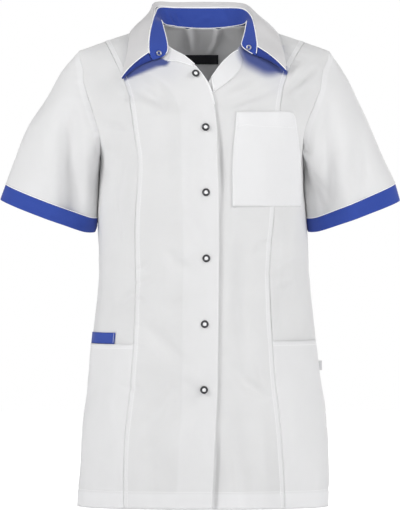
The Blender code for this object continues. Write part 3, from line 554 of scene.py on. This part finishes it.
front_right = open_sheet("front_right_cloth", "front_right", 3)
front_left = open_sheet("front_left_cloth", "front_left", 3)
lap = border(front_right, 0, True)
lap = lap[(lap[:, 2] < -0.100)]
lap = lap[np.argsort(-lap[:, 2])]
for piece in (front_right, front_left):
    right = piece == front_right
    points = places_of(piece.data)
    seam = border(piece, 0, not right)
    edge = border(piece, 0, right)
    hem = border(piece, 2, False)
    layers = np.maximum(0.55 * doubled(points, seam, SEAM_BAND), 0.7 * doubled(points, hem, HEM))
    depth = worn(points) + puckers(points, seam)
    depth += groove(points, seam, 0.0002) + band(points, seam, SEAM_BAND)
    depth += band(points, hem, HEM, 0.0005) + groove(points, hem + (0, 0, HEM), 0.0006, 0.0015)
    if right:
        away = away_from(points, edge)
        # Painted highlight: within 30 mm of the turned edge the cloth is lifted a further 0.12 towards the
        # doubled tone.
        layers = np.maximum(layers, 0.28 * doubled(points, edge, FACING) + 0.12 * ease((0.030 - away) / 0.02))
        low = ease((-0.600 - points[:, 2]) / 0.060)
        lifted = 0.0007 + 0.0030 * np.exp(-((points[:, 2] + 0.205) / 0.045) ** 2) + 0.0022 * low
        depth += band(points, edge, FACING, 0.0004, 0.003) + lifted * np.exp(-(away / 0.013) ** 2)
    else:
        from_lap = points[:, 0] - np.interp(-points[:, 2], -lap[:, 2], lap[:, 0])
        beside = np.exp(-((from_lap - 0.0030) / 0.0034) ** 2)
        gape = np.exp(-((points[:, 2] + 0.205) / 0.040) ** 2) + 0.5 * ease((-0.600 - points[:, 2]) / 0.060)
        depth -= beside * (0.0002 + 0.0040 * gape) * ease((-0.100 - points[:, 2]) / 0.02)
    body_grain(piece)
    push(piece, depth)
    mark(piece, "layers", layers)
    # Painted shade: the collar's shadow and blue reflection are painted on the chest below its leaves.
    collar_painted_shade(piece)
finish_cloth(front_right, CHEST_TWILL_PAINTED_SHADE, "front_right")
finish_cloth(front_left, CHEST_TWILL_PAINTED_SHADE, "front_left")
front_right_thread = [
    stitches("front_right_seam_stitches", front_right, border(front_right, 0, False), SEAM_STITCH,
             WHITE_THREAD_PAINTED_GLOW),
    stitches("front_right_hem_stitches", front_right, border(front_right, 2, False), HEM, WHITE_THREAD_PAINTED_GLOW),
    stitches("front_edge_stitches", front_right, border(front_right, 0, True), 0.0015, WHITE_THREAD_PAINTED_GLOW),
]
front_left_thread = [
    stitches("front_left_seam_stitches", front_left, border(front_left, 0, True), SEAM_STITCH, WHITE_THREAD_PAINTED_GLOW),
    stitches("front_left_hem_stitches", front_left, border(front_left, 2, False), HEM, WHITE_THREAD_PAINTED_GLOW),
]

# Side fronts: they run from the armhole and the side seam to the seams that shape the front. Their inner edge
# lies under the turned edge of the centre front, and the side seam is pressed flat.
side_front_right = open_sheet("side_front_right_cloth", "side_front_right", 3)
side_front_left = open_sheet("side_front_left_cloth", "side_front_left", 3)
for piece in (side_front_right, side_front_left):
    right = piece == side_front_right
    points = places_of(piece.data)
    seam = border(piece, 0, right)
    side = border(piece, 0, not right)
    hem = border(piece, 2, False)
    depth = worn(points) + groove(points, seam, 0.0002) + puckers(points, seam) + groove(points, side, 0.0004)
    depth += band(points, hem, HEM, 0.0003) + groove(points, hem + (0, 0, HEM), 0.0004, 0.0015)
    body_grain(piece)
    push(piece, depth)
    mark(piece, "layers", doubled(points, hem, HEM))
    finish_cloth(piece, WHITE_TWILL, piece.name.replace("_cloth", ""))

# Back: one plain panel from side seam to side seam, with a turned hem. The photograph shows only the inside
# of its neck, so it has the soft folds of a back that hangs from the shoulders.

# Its creases, in the same places and order of numbers as the fronts'.
BACK_CREASES = (
    (-0.0262, 0.018, -0.0205, -0.018, 0.0035, -0.0058),
    (0.024, 0.018, 0.02, -0.006, 0.0035, -0.0054),
    (0.02, -0.006, 0.008, -0.026, 0.0035, -0.0044),
    (-0.013, 0.012, -0.014, -0.02, 0.005, 0.0034),
    (-0.06, -0.15, -0.035, -0.27, 0.011, -0.0024),
    (0.07, -0.13, 0.045, -0.25, 0.01, -0.0024),
    (-0.12, -0.33, -0.07, -0.39, 0.007, -0.0027),
    (0.125, -0.32, 0.07, -0.385, 0.007, -0.0027),
    (-0.03, -0.39, 0.035, -0.405, 0.008, -0.0022),
    (-0.02, -0.35, 0.05, -0.34, 0.009, 0.0017),
    (-0.05, -0.48, -0.045, -0.7, 0.014, 0.0027),
    (0.055, -0.5, 0.06, -0.73, 0.015, -0.0027),
    (0.13, -0.53, 0.138, -0.73, 0.013, 0.0024),
    (-0.125, -0.52, -0.132, -0.72, 0.013, 0.0022),
)
back = open_sheet("back_cloth", "back", 3)
points = places_of(back.data)
hem = border(back, 2, False)
depth = worn(points, BACK_CREASES)
depth += band(points, hem, HEM, 0.0003) + groove(points, hem + (0, 0, HEM), 0.0004, 0.0015)
body_grain(back)
push(back, depth)
mark(back, "layers", doubled(points, hem, HEM))
finish_cloth(back, WHITE_TWILL, "back")
back_thread = [stitches("back_hem_stitches", back, border(back, 2, False), HEM, WHITE_THREAD_PAINTED_GLOW)]

# Sleeves: short, set in at the armholes, each a tube from one piece with a seam under the arm. The cloth
# hangs in a few deep folds from the shoulder to the cuff.

# Creases along a sleeve's back: turn in degrees from its outer side over the front, start, end, width, depth.
SLEEVE_CREASES = {
    "right": ((230, 0.20, 0.90, 14, -0.0020), (290, 0.30, 1.00, 16, -0.0016)),
    "left": ((225, 0.20, 0.90, 14, -0.0020), (300, 0.30, 1.00, 16, -0.0016)),
}
# Folds on a sleeve's front, as seen from in front: x0, z0, x1, z1, half width, depth.
SLEEVE_FOLDS = {
    "right": ((-0.21, -0.12, -0.205, -0.295, 0.0145, -0.018),
              (-0.196, -0.215, -0.188, -0.275, 0.008, -0.004),
              (-0.184, -0.166, -0.174, -0.264, 0.006, 0.0016),
              (-0.242, -0.15, -0.25, -0.245, 0.014, 0.002),
              (-0.162, -0.144, -0.176, -0.16, 0.0045, -0.0016)),
    "left": ((0.195, -0.108, 0.193, -0.26, 0.009, -0.006),
             (0.245, -0.16, 0.244, -0.256, 0.009, -0.0048),
             (0.166, -0.225, 0.188, -0.282, 0.009, -0.0064),
             (0.161, -0.205, 0.196, -0.256, 0.0055, -0.0028),
             (0.22, -0.14, 0.218, -0.24, 0.012, 0.0024)),
}
SHOULDER_END = {"right": Vector((-0.1785, 0, -0.1102)), "left": Vector((0.1775, 0, -0.1107))}
CUFF_END = {"right": Vector((-0.2478, 0, -0.2795)), "left": Vector((0.2385, 0, -0.2800))}


def along_sleeve(word, points):
    """How far down a sleeve its points are, and how far round from its outer side."""
    start, end = SHOULDER_END[word], CUFF_END[word]
    axis = np.array(end - start)
    share = ((points - np.array(start)) @ axis) / (axis @ axis)
    from_axis = points - np.array(start) - share[:, None] * axis
    out = np.array((-axis[2], 0, axis[0])) if word == "left" else np.array((axis[2], 0, -axis[0]))
    out = out / np.linalg.norm(out)
    return share, np.degrees(np.arctan2(-from_axis[:, 1], from_axis @ out)) % 360


def joined(pieces):
    """One search tree over several sheets."""
    points, faces = [], []
    for piece in pieces:
        faces += [[len(points) + number for number in face.vertices] for face in piece.data.polygons]
        points += [vert.co.copy() for vert in piece.data.vertices]
    return BVHTree.FromPolygons(points, faces)


BODY = joined((front_right, front_left, side_front_right, side_front_left, back))
CLEAR = 0.0018


def tucked(word, points):
    """How far the back of a sleeve's underside leans in towards the body that it hangs beside."""
    towards = Vector((1 if word == "right" else -1, 0, 0))
    share, turn = along_sleeve(word, points)
    wanted = ease((turn - 160) / 35) * ease((285 - turn) / 60) * ease((share - 0.30) / 0.25) * 0.014
    for number in np.flatnonzero(wanted > 0.0001):
        gap = BODY.ray_cast(Vector(points[number]), towards, 0.060)[3]
        if gap is not None:
            wanted[number] = max(min(wanted[number], gap - CLEAR), 0)
    return wanted[:, None] * np.array(towards)


def nearest_on(points, line):
    """The nearest place on a line to each point."""
    best = np.full(len(points), 1e9)
    found = points.copy()
    for start, end in zip(line, line[1:]):
        run = end - start
        share = np.clip((points - start) @ run / max(run @ run, 1e-12), 0, 1)
        spot = start + share[:, None] * run
        away = np.linalg.norm(points - spot, axis=1)
        nearer = away < best
        best[nearer] = away[nearer]
        found[nearer] = spot[nearer]
    return found, best


def set_in(sleeve, word):
    """Draws a sleeve's head in to the armhole that it is sewn into."""
    head = max(borders(sleeve.data), key=lambda line: places_of(sleeve.data)[line, 2].mean())
    points = places_of(sleeve.data)
    rim_points = points[head]
    goal, best = rim_points.copy(), np.full(len(rim_points), 1e9)
    for piece in (side_front_right if word == "right" else side_front_left, back):
        for line in border_lines(piece):
            spot, away = nearest_on(rim_points, line)
            nearer = away < best
            goal[nearer], best[nearer] = spot[nearer], away[nearer]
    shift = (goal - rim_points) * (best < 0.008)[:, None]
    moved = points.copy()
    for number, point in enumerate(points):
        away = np.linalg.norm(rim_points - point, axis=1)
        nearest = away.argmin()
        if away[nearest] < 0.020:
            moved[number] += shift[nearest] * (1 - ease(away[nearest] / 0.020))
    sleeve.data.vertices.foreach_set("co", moved.ravel())
    sleeve.data.update()


sleeves = {}
for word in ("right", "left"):
    sleeve = open_sheet("sleeve_%s_cloth" % word, "sleeve_" + word, 3)
    points = places_of(sleeve.data)
    share, turn = along_sleeve(word, points)
    depth = np.zeros(len(points))
    for centre, start, end, width, rise in SLEEVE_CREASES[word]:
        gap = (turn - centre + 180) % 360 - 180
        fold = np.exp(-(gap / width) ** 2)
        depth += rise * fold * ease((share - start) / 0.25) * ease((end + 0.2 - share) / 0.2)
    depth += creases(SLEEVE_FOLDS[word], points[:, 0], points[:, 2]) * ease((-points[:, 1] - 0.004) / 0.018)
    head = border(sleeve, 2, True)
    depth += unevenness(points, 0.045, 0.0010, 8) + groove(points, head, 0.0001, 0.002)
    depth += band(points, head, 0.010, 0.0003, 0.003) + puckers(points, head, 0.0003, 0.014, 0.013)
    weave_map(sleeve, np.radians(turn) * 0.05, share * 0.18)
    lean = tucked(word, points)
    push(sleeve, depth)
    sleeve.data.vertices.foreach_set("co", (places_of(sleeve.data) + lean).ravel())
    set_in(sleeve, word)
    # Painted light: the whole sleeve, single cloth but for its head, takes a quarter of the doubled tone, for
    # a lighter white.
    mark(sleeve, "layers", 0.4 * doubled(points, head, 0.010) + 0.25)
    finish_cloth(sleeve, WHITE_TWILL, "sleeve_" + word)
    sleeves[word] = sleeve

# Cuffs: blue bands 27 mm deep, turned up and stitched along their upper edge, where the sleeve's own white
# edge shows as a thin line.
def rim(name, line, radius, paint):
    """A rolled edge along a line of points."""
    curve = bpy.data.curves.new(name, "CURVE")
    curve.dimensions = "3D"
    spline = curve.splines.new("POLY")
    spline.points.add(len(line) - 1)
    spline.points.foreach_set("co", np.hstack((line, np.ones((len(line), 1)))).ravel())
    curve.bevel_depth = radius
    curve.bevel_resolution = 3
    curve.use_fill_caps = True
    made = placed(name, curve)
    mesh = bpy.data.meshes.new_from_object(made.evaluated_get(bpy.context.evaluated_depsgraph_get()))
    bpy.data.objects.remove(made)
    return trim_piece(name, mesh, paint)


for word in ("right", "left"):
    cuff = open_sheet("cuff_%s_cloth" % word, "cuff_" + word, 3)
    points = places_of(cuff.data)
    share, turn = along_sleeve(word, points)
    weave_map(cuff, np.radians(turn) * 0.05, share * 0.18)
    depth = unevenness(points, 0.035, 0.0007, 9) + 0.0004
    depth += groove(points, border(cuff, 2, True), 0.0005, 0.0014)
    lean = tucked(word, points)
    push(cuff, depth)
    cuff.data.vertices.foreach_set("co", (places_of(cuff.data) + lean).ravel())
    finish_cloth(cuff, BLUE_TWILL, "cuff_" + word, 0.0011)
    points = places_of(cuff.data)
    top = max(borders(cuff.data), key=lambda line: points[line, 2].mean())
    edge = points[top] + normals_of(cuff.data)[top] * 0.0008 + (0, 0, 0.0005)
    # The sleeve's white edge is a rim in the painted-highlight white.
    thread = [stitches("cuff_%s_stitches" % word, cuff, points[top], 0.0018, BLUE_THREAD),
              rim("cuff_%s_edge" % word, edge, 0.0006, WHITE_EDGE_PAINTED_HIGHLIGHT)]

# Collar: a stand with a leaf that falls over it. What shows on top is white, painted darker as shade; its
# underside and the inside of the stand are blue, the underside painted a darker blue as shade. The leaf's
# edge is turned and stitched, and shows as a crisp white rim, painted lighter than the cloth with a faint
# glow as a painted highlight.
def collar_grain(piece):
    points = places_of(piece.data)
    weave_map(piece, 0.085 * np.arctan2(points[:, 0], points[:, 1] + 0.01),
              np.hypot(points[:, 0], points[:, 1]) - points[:, 2])


def peaked(piece, share=1.0):
    """Draws out the corner where the collar turns forward at the right of the neck."""
    points = places_of(piece.data)
    near = np.exp(-(np.hypot(points[:, 0] + 0.0680, points[:, 2] - 0.0480) / 0.0120) ** 2)
    moved = points + share * near[:, None] * (-0.0062, 0, 0.0034)
    piece.data.vertices.foreach_set("co", moved.ravel())
    piece.data.update()


collar_upper = open_sheet("collar_upper_cloth", "collar_upper", 3)
collar_grain(collar_upper)
peaked(collar_upper)
points = places_of(collar_upper.data)
push(collar_upper, unevenness(points, 0.03, 0.0006, 11) - 0.0005)
finish_cloth(collar_upper, COLLAR_TWILL_PAINTED_SHADE, "collar_upper", thick=0.0008)
lines = sorted(border_lines(collar_upper),
               key=lambda line: np.linalg.norm(line[1:] - line[:-1], axis=1).sum())
edges = [rim("collar_edge_%d" % number, line, 0.0007, WHITE_EDGE_PAINTED_HIGHLIGHT) for number, line in enumerate(lines[:-1])]

collar_under = open_sheet("collar_under_cloth", "collar_under", 2, Vector((0, 0, -1)))
collar_grain(collar_under)
peaked(collar_under)
points = places_of(collar_under.data)
push(collar_under, unevenness(points, 0.03, 0.0006, 11) * -1 - 0.0005)
finish_cloth(collar_under, BLUE_TWILL_PAINTED_SHADE, "collar_under", 0.0008)

# The collar's stand: a band 28 mm deep, blue inside the neck and white outside, with its edges turned in.
stand_inner = open_sheet("stand_inner_cloth", "stand_inner", 3, Vector((0, -1, 0)))
collar_grain(stand_inner)
peaked(stand_inner, 0.55)
points = places_of(stand_inner.data)
STAND_CREASES = (
    (-0.056, 0.038, -0.048, 0.018, 0.003, 0.0022), (-0.043, 0.04, -0.033, 0.022, 0.0034, -0.0024),
    (-0.05, 0.03, -0.04, 0.02, 0.003, -0.0018), (0.033, 0.04, 0.039, 0.024, 0.004, -0.0016),
    (-0.003, 0.028, 0.012, 0.033, 0.0045, 0.0014), (-0.02, 0.025, -0.008, 0.033, 0.005, -0.001),
)
behind = points[:, 1] > 0
push(stand_inner, creases(STAND_CREASES, points[:, 0], points[:, 2]) * behind)
finish_cloth(stand_inner, BLUE_TWILL, "stand_inner", 0.0008)
lines = [line[line[:, 2] > -0.030] for line in border_lines(stand_inner) if len(line) > 100]
edges = [rim("stand_edge_%d" % number, line, 0.0006, WHITE_EDGE_PAINTED_HIGHLIGHT) for number, line in enumerate(lines)]

stand_outer = open_sheet("stand_outer_cloth", "stand_outer", 2)
collar_grain(stand_outer)
finish_cloth(stand_outer, WHITE_TWILL, "stand_outer", thick=0.0008)

# Facings: the turned-out insides of the fronts beside the neck. Their turned edges show as a white line all
# along the opening, a rim painted lighter than the cloth with a faint glow as a painted highlight.
opening = border(front_right, 0, True)
opening = opening[(opening[:, 2] > -0.110) & (opening[:, 2] < -0.043)]
neck_edge = rim("front_right_neck_edge", opening, 0.0007, WHITE_EDGE_PAINTED_HIGHLIGHT)
for word in ("right", "left"):
    facing = open_sheet("facing_%s_cloth" % word, "facing_" + word, 2, Vector((0, -1, 0)))
    points = places_of(facing.data)
    body_grain(facing)
    depth = worn(points)
    if word == "left":
        foot = min(sorted(border_lines(facing), key=len)[-2:], key=lambda line: line[:, 2].mean())
        depth -= 0.0010 * np.exp(-(away_from(points, foot) / 0.0050) ** 2)
    push(facing, depth)
    mark(facing, "layers", 0.8 + 0 * points[:, 0])
    # Painted shade: the collar's shadow and blue reflection are painted on the facing too.
    collar_painted_shade(facing)
    finish_cloth(facing, CHEST_TWILL_PAINTED_SHADE, "facing_" + word, thick=0.0009)
    lines = sorted(border_lines(facing), key=len)[-2:]
    lines.sort(key=lambda line: -line[:, 2].mean())
    shown = lines if word == "right" else lines[:1]
    edges = [rim("facing_%s_edge_%d" % (word, number), line, 0.0006, WHITE_EDGE_PAINTED_HIGHLIGHT)
             for number, line in enumerate(shown)]
    if word == "right":
        edges.append(neck_edge)

# Patch pockets: a breast pocket on the left front and two large ones that fill the side fronts from the hem
# up, with a turned band at each mouth.
MOUTH_HEM = 0.0065
CHEST_HEM = 0.025
chest = open_sheet("pocket_chest_cloth", "pocket_chest", 3)


def chest_lines():
    """The breast pocket's front, foot, mouth and side, the last two parted at its rounded corner."""
    front, foot, top = border(chest, 0, False), border(chest, 2, False), border(chest, 2, True)
    return front, foot, top[top[:, 2] > -0.1225], top[top[:, 2] < -0.1215]


points = places_of(chest.data)
front, foot, mouth, side = chest_lines()
sewn = np.minimum(np.minimum(away_from(points, front), away_from(points, side)), away_from(points, foot))
depth = worn(points) - 0.0008 * np.exp(-(sewn / 0.004) ** 2) + 0.0012 * ease(sewn / 0.04)
depth += 0.0005 * np.exp(-((sewn - 0.0012) / 0.0010) ** 2) - 0.0004 * np.exp(-((sewn - 0.0040) / 0.0012) ** 2)
depth += band(points, mouth, CHEST_HEM, 0.0004) + groove(points, mouth - (0, 0, CHEST_HEM), 0.0003, 0.0014)
body_grain(chest)
push(chest, depth)
mark(chest, "layers", 0.8 + 0.2 * doubled(points, mouth, CHEST_HEM))
finish_cloth(chest, WHITE_TWILL, "pocket_chest", thick=0.0009)
front, foot, mouth, side = chest_lines()
chest_thread = [stitches("pocket_chest_%s_stitches" % word, chest, line, inset, WHITE_THREAD_PAINTED_GLOW)
                for word, line, inset in (("front", front, 0.0024), ("side", side, 0.0024),
                                          ("foot", foot, 0.0024), ("mouth", mouth, CHEST_HEM))]

for word in ("right", "left"):
    pocket = open_sheet("pocket_%s_cloth" % word, "pocket_" + word, 3)
    points = places_of(pocket.data)
    mouth, hem = border(pocket, 2, True), border(pocket, 2, False)
    inner = border(pocket, 0, word == "right")
    outer = border(pocket, 0, word == "left")
    sewn = np.minimum(away_from(points, inner), away_from(points, outer))
    depth = worn(points) - 0.0009 * np.exp(-(sewn / 0.005) ** 2) + 0.0015 * ease(sewn / 0.04)
    depth += band(points, mouth, MOUTH_HEM, 0.0003) + groove(points, inner, 0.0004)
    depth += band(points, hem, HEM, 0.0005) + groove(points, hem + (0, 0, HEM), 0.0006, 0.0015)
    body_grain(pocket)
    push(pocket, depth)
    turned = np.maximum(doubled(points, mouth, MOUTH_HEM), doubled(points, hem, HEM))
    mark(pocket, "layers", 0.45 + 0.55 * turned)
    finish_cloth(pocket, WHITE_TWILL, "pocket_" + word, thick=0.0009)
    pocket_thread = [
        stitches("pocket_%s_mouth_stitches" % word, pocket, border(pocket, 2, True), MOUTH_HEM, WHITE_THREAD_PAINTED_GLOW),
        stitches("pocket_%s_hem_stitches" % word, pocket, border(pocket, 2, False), HEM, WHITE_THREAD_PAINTED_GLOW),
    ]

# Blue tab: a short strip folded double and sewn on above the right pocket, from the side seam inwards, with a
# bar of white stitches at its inner end.
tab = open_sheet("tab_blue_cloth", "tab_blue", 3)
points = places_of(tab.data)
body_grain(tab)
push(tab, worn(points))
finish_cloth(tab, BLUE_TWILL, "tab_blue", 0.0010)
tab_thread = [stitches("tab_end_stitches", tab, border(tab, 0, True), 0.0022, WHITE_THREAD_PAINTED_GLOW, 0.0018,
                       (0.0010, 0.0005, 0.0003))]

# Neck label: a dark woven ribbon sewn inside the back neck, below the stand. It carries no writing here, and
# its face is left bare.
DARK_RIBBON = cloth("dark_ribbon", (0.018, 0.018, 0.022), (0.030, 0.030, 0.036), rough=0.7)
label = open_sheet("label_neck_ribbon", "label_neck", 3, Vector((0, -1, 0)))
body_grain(label)
finish_cloth(label, DARK_RIBBON, "label_neck", 0.0005)

# Side tag: a pale ribbon 12 mm long and 15 mm wide, folded double and caught in the left side seam, so that
# it stands out from the hip. It is left bare.
PALE_RIBBON = cloth("pale_ribbon", (0.60, 0.60, 0.61), (0.68, 0.68, 0.69), rough=0.7)
low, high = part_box("tag_side")
bend = (high.y - low.y) / 2
flat = np.linspace(low.x - 0.0006, high.x - bend, 5)
turns = np.linspace(0, math.pi, 9)[1:-1]
plan = ([(x, low.y) for x in flat]
        + [(high.x - bend + bend * math.sin(turn), low.y + bend - bend * math.cos(turn)) for turn in turns]
        + [(x, high.y) for x in flat[::-1]])
bm = bmesh.new()
rows = [[bm.verts.new((x, y + 0.0002 * math.sin(z * 900), z)) for x, y in plan]
        for z in np.linspace(low.z, high.z, 9)]
for lower, upper in zip(rows, rows[1:]):
    for number in range(len(plan) - 1):
        bm.faces.new((lower[number], lower[number + 1], upper[number + 1], upper[number]))
tag = placed("tag_side_ribbon", mesh_of("tag_side_ribbon", bm))
body_grain(tag)
finish_cloth(tag, PALE_RIBBON, "tag_side", thick=0.0003)

# Ring snaps: open metal rings pressed through the right front, whose cloth shows white inside them. Two
# smaller bright ones sit on the ends of the collar's stand.
def nickel(name, dark, light):
    """Plated metal, a little uneven in tone and polish."""
    made, nodes, links, shader = new_paint(name)
    shader.inputs["Metallic"].default_value = 1.0
    wear, tone = mottled(nodes, links, 700, dark, light)
    links.new(tone, shader.inputs["Base Color"])
    rough = nodes.new("ShaderNodeMapRange")
    rough.inputs["To Min"].default_value = 0.22
    rough.inputs["To Max"].default_value = 0.40
    links.new(wear, rough.inputs["Value"])
    links.new(rough.outputs[0], shader.inputs["Roughness"])
    return made


DARK_NICKEL = nickel("dark_nickel", (0.045, 0.045, 0.050), (0.110, 0.110, 0.115))
BRIGHT_NICKEL = nickel("bright_nickel", (0.36, 0.37, 0.42), (0.55, 0.56, 0.60))


SNAP_RADIUS = 0.006


def snap(node):
    """A rolled ring with a stepped inner lip round a small dome of cloth."""
    points = places_of(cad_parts[node].data)
    middle = points.mean(0)
    spokes = points - middle
    normal = np.linalg.svd(spokes)[2][2]
    if normal[1] > 0:
        normal = -normal
    base = middle + normal * (spokes @ normal).min()
    size = np.linalg.norm(spokes - (spokes @ normal)[:, None] * normal, axis=1).max() / SNAP_RADIUS
    size *= 0.78 if "stand" in node else 1.0
    turn = Vector((0, 0, 1)).rotation_difference(Vector(normal)).to_matrix().to_4x4()
    place = Matrix.Translation(Vector(base)) @ turn @ Matrix.Scale(size, 4)
    profile = ((0.0030, 0.0000), (0.0029, 0.0006), (0.0031, 0.0010), (0.0036, 0.0011), (0.0038, 0.0013),
               (0.0043, 0.0016), (0.0049, 0.0016), (0.0055, 0.0013), (0.0059, 0.0008), (0.0060, 0.0000))
    # The centres take the painted-highlight white on the fronts, and on the stand the blue painted darker as
    # shade.
    metal, centre = (BRIGHT_NICKEL, BLUE_TWILL_PAINTED_SHADE) if "stand" in node else (DARK_NICKEL, WHITE_EDGE_PAINTED_HIGHLIGHT)
    dome = ((0.0, 0.0009), (0.0016, 0.0008), (0.0030, 0.0002))
    for name, line, paint in ((node + "_ring", profile, metal), (node + "_centre", dome, centre)):
        bm = bmesh.new()
        verts = [bm.verts.new((x, 0, z)) for x, z in line]
        edges = [bm.edges.new(pair) for pair in zip(verts, verts[1:])]
        bmesh.ops.spin(bm, geom=verts + edges, cent=(0, 0, 0), axis=(0, 0, 1), angle=math.tau,
                       steps=40, use_merge=True)
        bmesh.ops.remove_doubles(bm, verts=bm.verts, dist=1e-6)
        bmesh.ops.recalc_face_normals(bm, faces=bm.faces)
        if sum(face.normal.z for face in bm.faces) < 0:
            bmesh.ops.reverse_faces(bm, faces=bm.faces)
        bm.transform(place)
        trim_piece(name, mesh_of(name, bm), paint)
    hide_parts(node)


for node in sorted(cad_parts):
    if node.startswith("snap_"):
        snap(node)

# Studio: a pale floor under the hem, a white room and large soft lights. Only the camera sees the floor and
# walls at full white, so that they don't flood the cloth.
FLOOR_Z = -0.765
bm = bmesh.new()
bmesh.ops.create_grid(bm, x_segments=1, y_segments=1, size=6.0, matrix=Matrix.Translation((0, 0, FLOOR_Z)))
mesh = mesh_of("floor", bm)
floor_paint, floor_nodes, floor_links, floor_shader = new_paint("floor_white")
floor_shader.inputs["Base Color"].default_value = (0.9, 0.9, 0.9, 1)
floor_shader.inputs["Roughness"].default_value = 0.9
floor_shader.inputs["Emission Strength"].default_value = 0.74
floor_ray = floor_nodes.new("ShaderNodeLightPath")
floor_glow = floor_nodes.new("ShaderNodeMix")
floor_glow.data_type = "RGBA"
floor_glow.inputs["A"].default_value = (0.18, 0.18, 0.18, 1)
floor_glow.inputs["B"].default_value = (1, 1, 1, 1)
floor_links.new(floor_ray.outputs["Is Camera Ray"], floor_glow.inputs["Factor"])
floor_links.new(floor_glow.outputs["Result"], floor_shader.inputs["Emission Color"])
mesh.materials.append(floor_paint)
placed("floor", mesh)

world = bpy.data.worlds.new("room")
world.use_nodes = True
room, room_links = world.node_tree.nodes, world.node_tree.links
walls = room["Background"]
walls.inputs["Color"].default_value = (1, 1, 1, 1)
sky = room.new("ShaderNodeTexCoord")
height = room.new("ShaderNodeSeparateXYZ")
fade = room.new("ShaderNodeMapRange")
fade.inputs["To Min"].default_value = 0.565
fade.inputs["To Max"].default_value = 0.16
room_links.new(sky.outputs["Generated"], height.inputs[0])
room_links.new(height.outputs["Z"], fade.inputs["Value"])
room_links.new(fade.outputs[0], walls.inputs["Strength"])
seen_walls = room.new("ShaderNodeBackground")
seen_walls.inputs["Color"].default_value = (1, 1, 1, 1)
seen_walls.inputs["Strength"].default_value = 1.0
ray = room.new("ShaderNodeLightPath")
either = room.new("ShaderNodeMixShader")
room_links.new(ray.outputs["Is Camera Ray"], either.inputs[0])
room_links.new(walls.outputs[0], either.inputs[1])
room_links.new(seen_walls.outputs[0], either.inputs[2])
room_links.new(either.outputs[0], room["World Output"].inputs[0])
bpy.context.scene.world = world


def soft_light(name, place, aim, size, power):
    lamp = bpy.data.lights.new(name, "AREA")
    lamp.shape = "RECTANGLE"
    lamp.size, lamp.size_y = size
    lamp.energy = power
    made = placed(name, lamp)
    made.location = place
    made.rotation_euler = (Vector(aim) - Vector(place)).to_track_quat("-Z", "Y").to_euler()


soft_light("right_light", (-2.3, -1.6, 1.3), (0, 0, -0.35), (1.0, 1.4), 40)
soft_light("left_light", (2.3, -1.6, 1.1), (0, 0, -0.35), (1.0, 1.4), 33)
soft_light("front_light", (0.3, -3.4, 0.7), (0, 0, -0.20), (1.4, 1.0), 10)
soft_light("back_light", (0.9, 2.8, 1.0), (0, 0, -0.30), (1.2, 1.2), 36)

camera_data = bpy.data.cameras.new("camera")
camera_data.lens = 361.7
camera_data.sensor_width = 36
camera_data.clip_end = 100
camera = placed("camera", camera_data)
camera.location = (-0.0056, -8.0, -0.342)
camera.rotation_euler = (math.pi / 2, 0, 0)
bpy.context.scene.camera = camera
bpy.context.scene.view_settings.view_transform = "Standard"
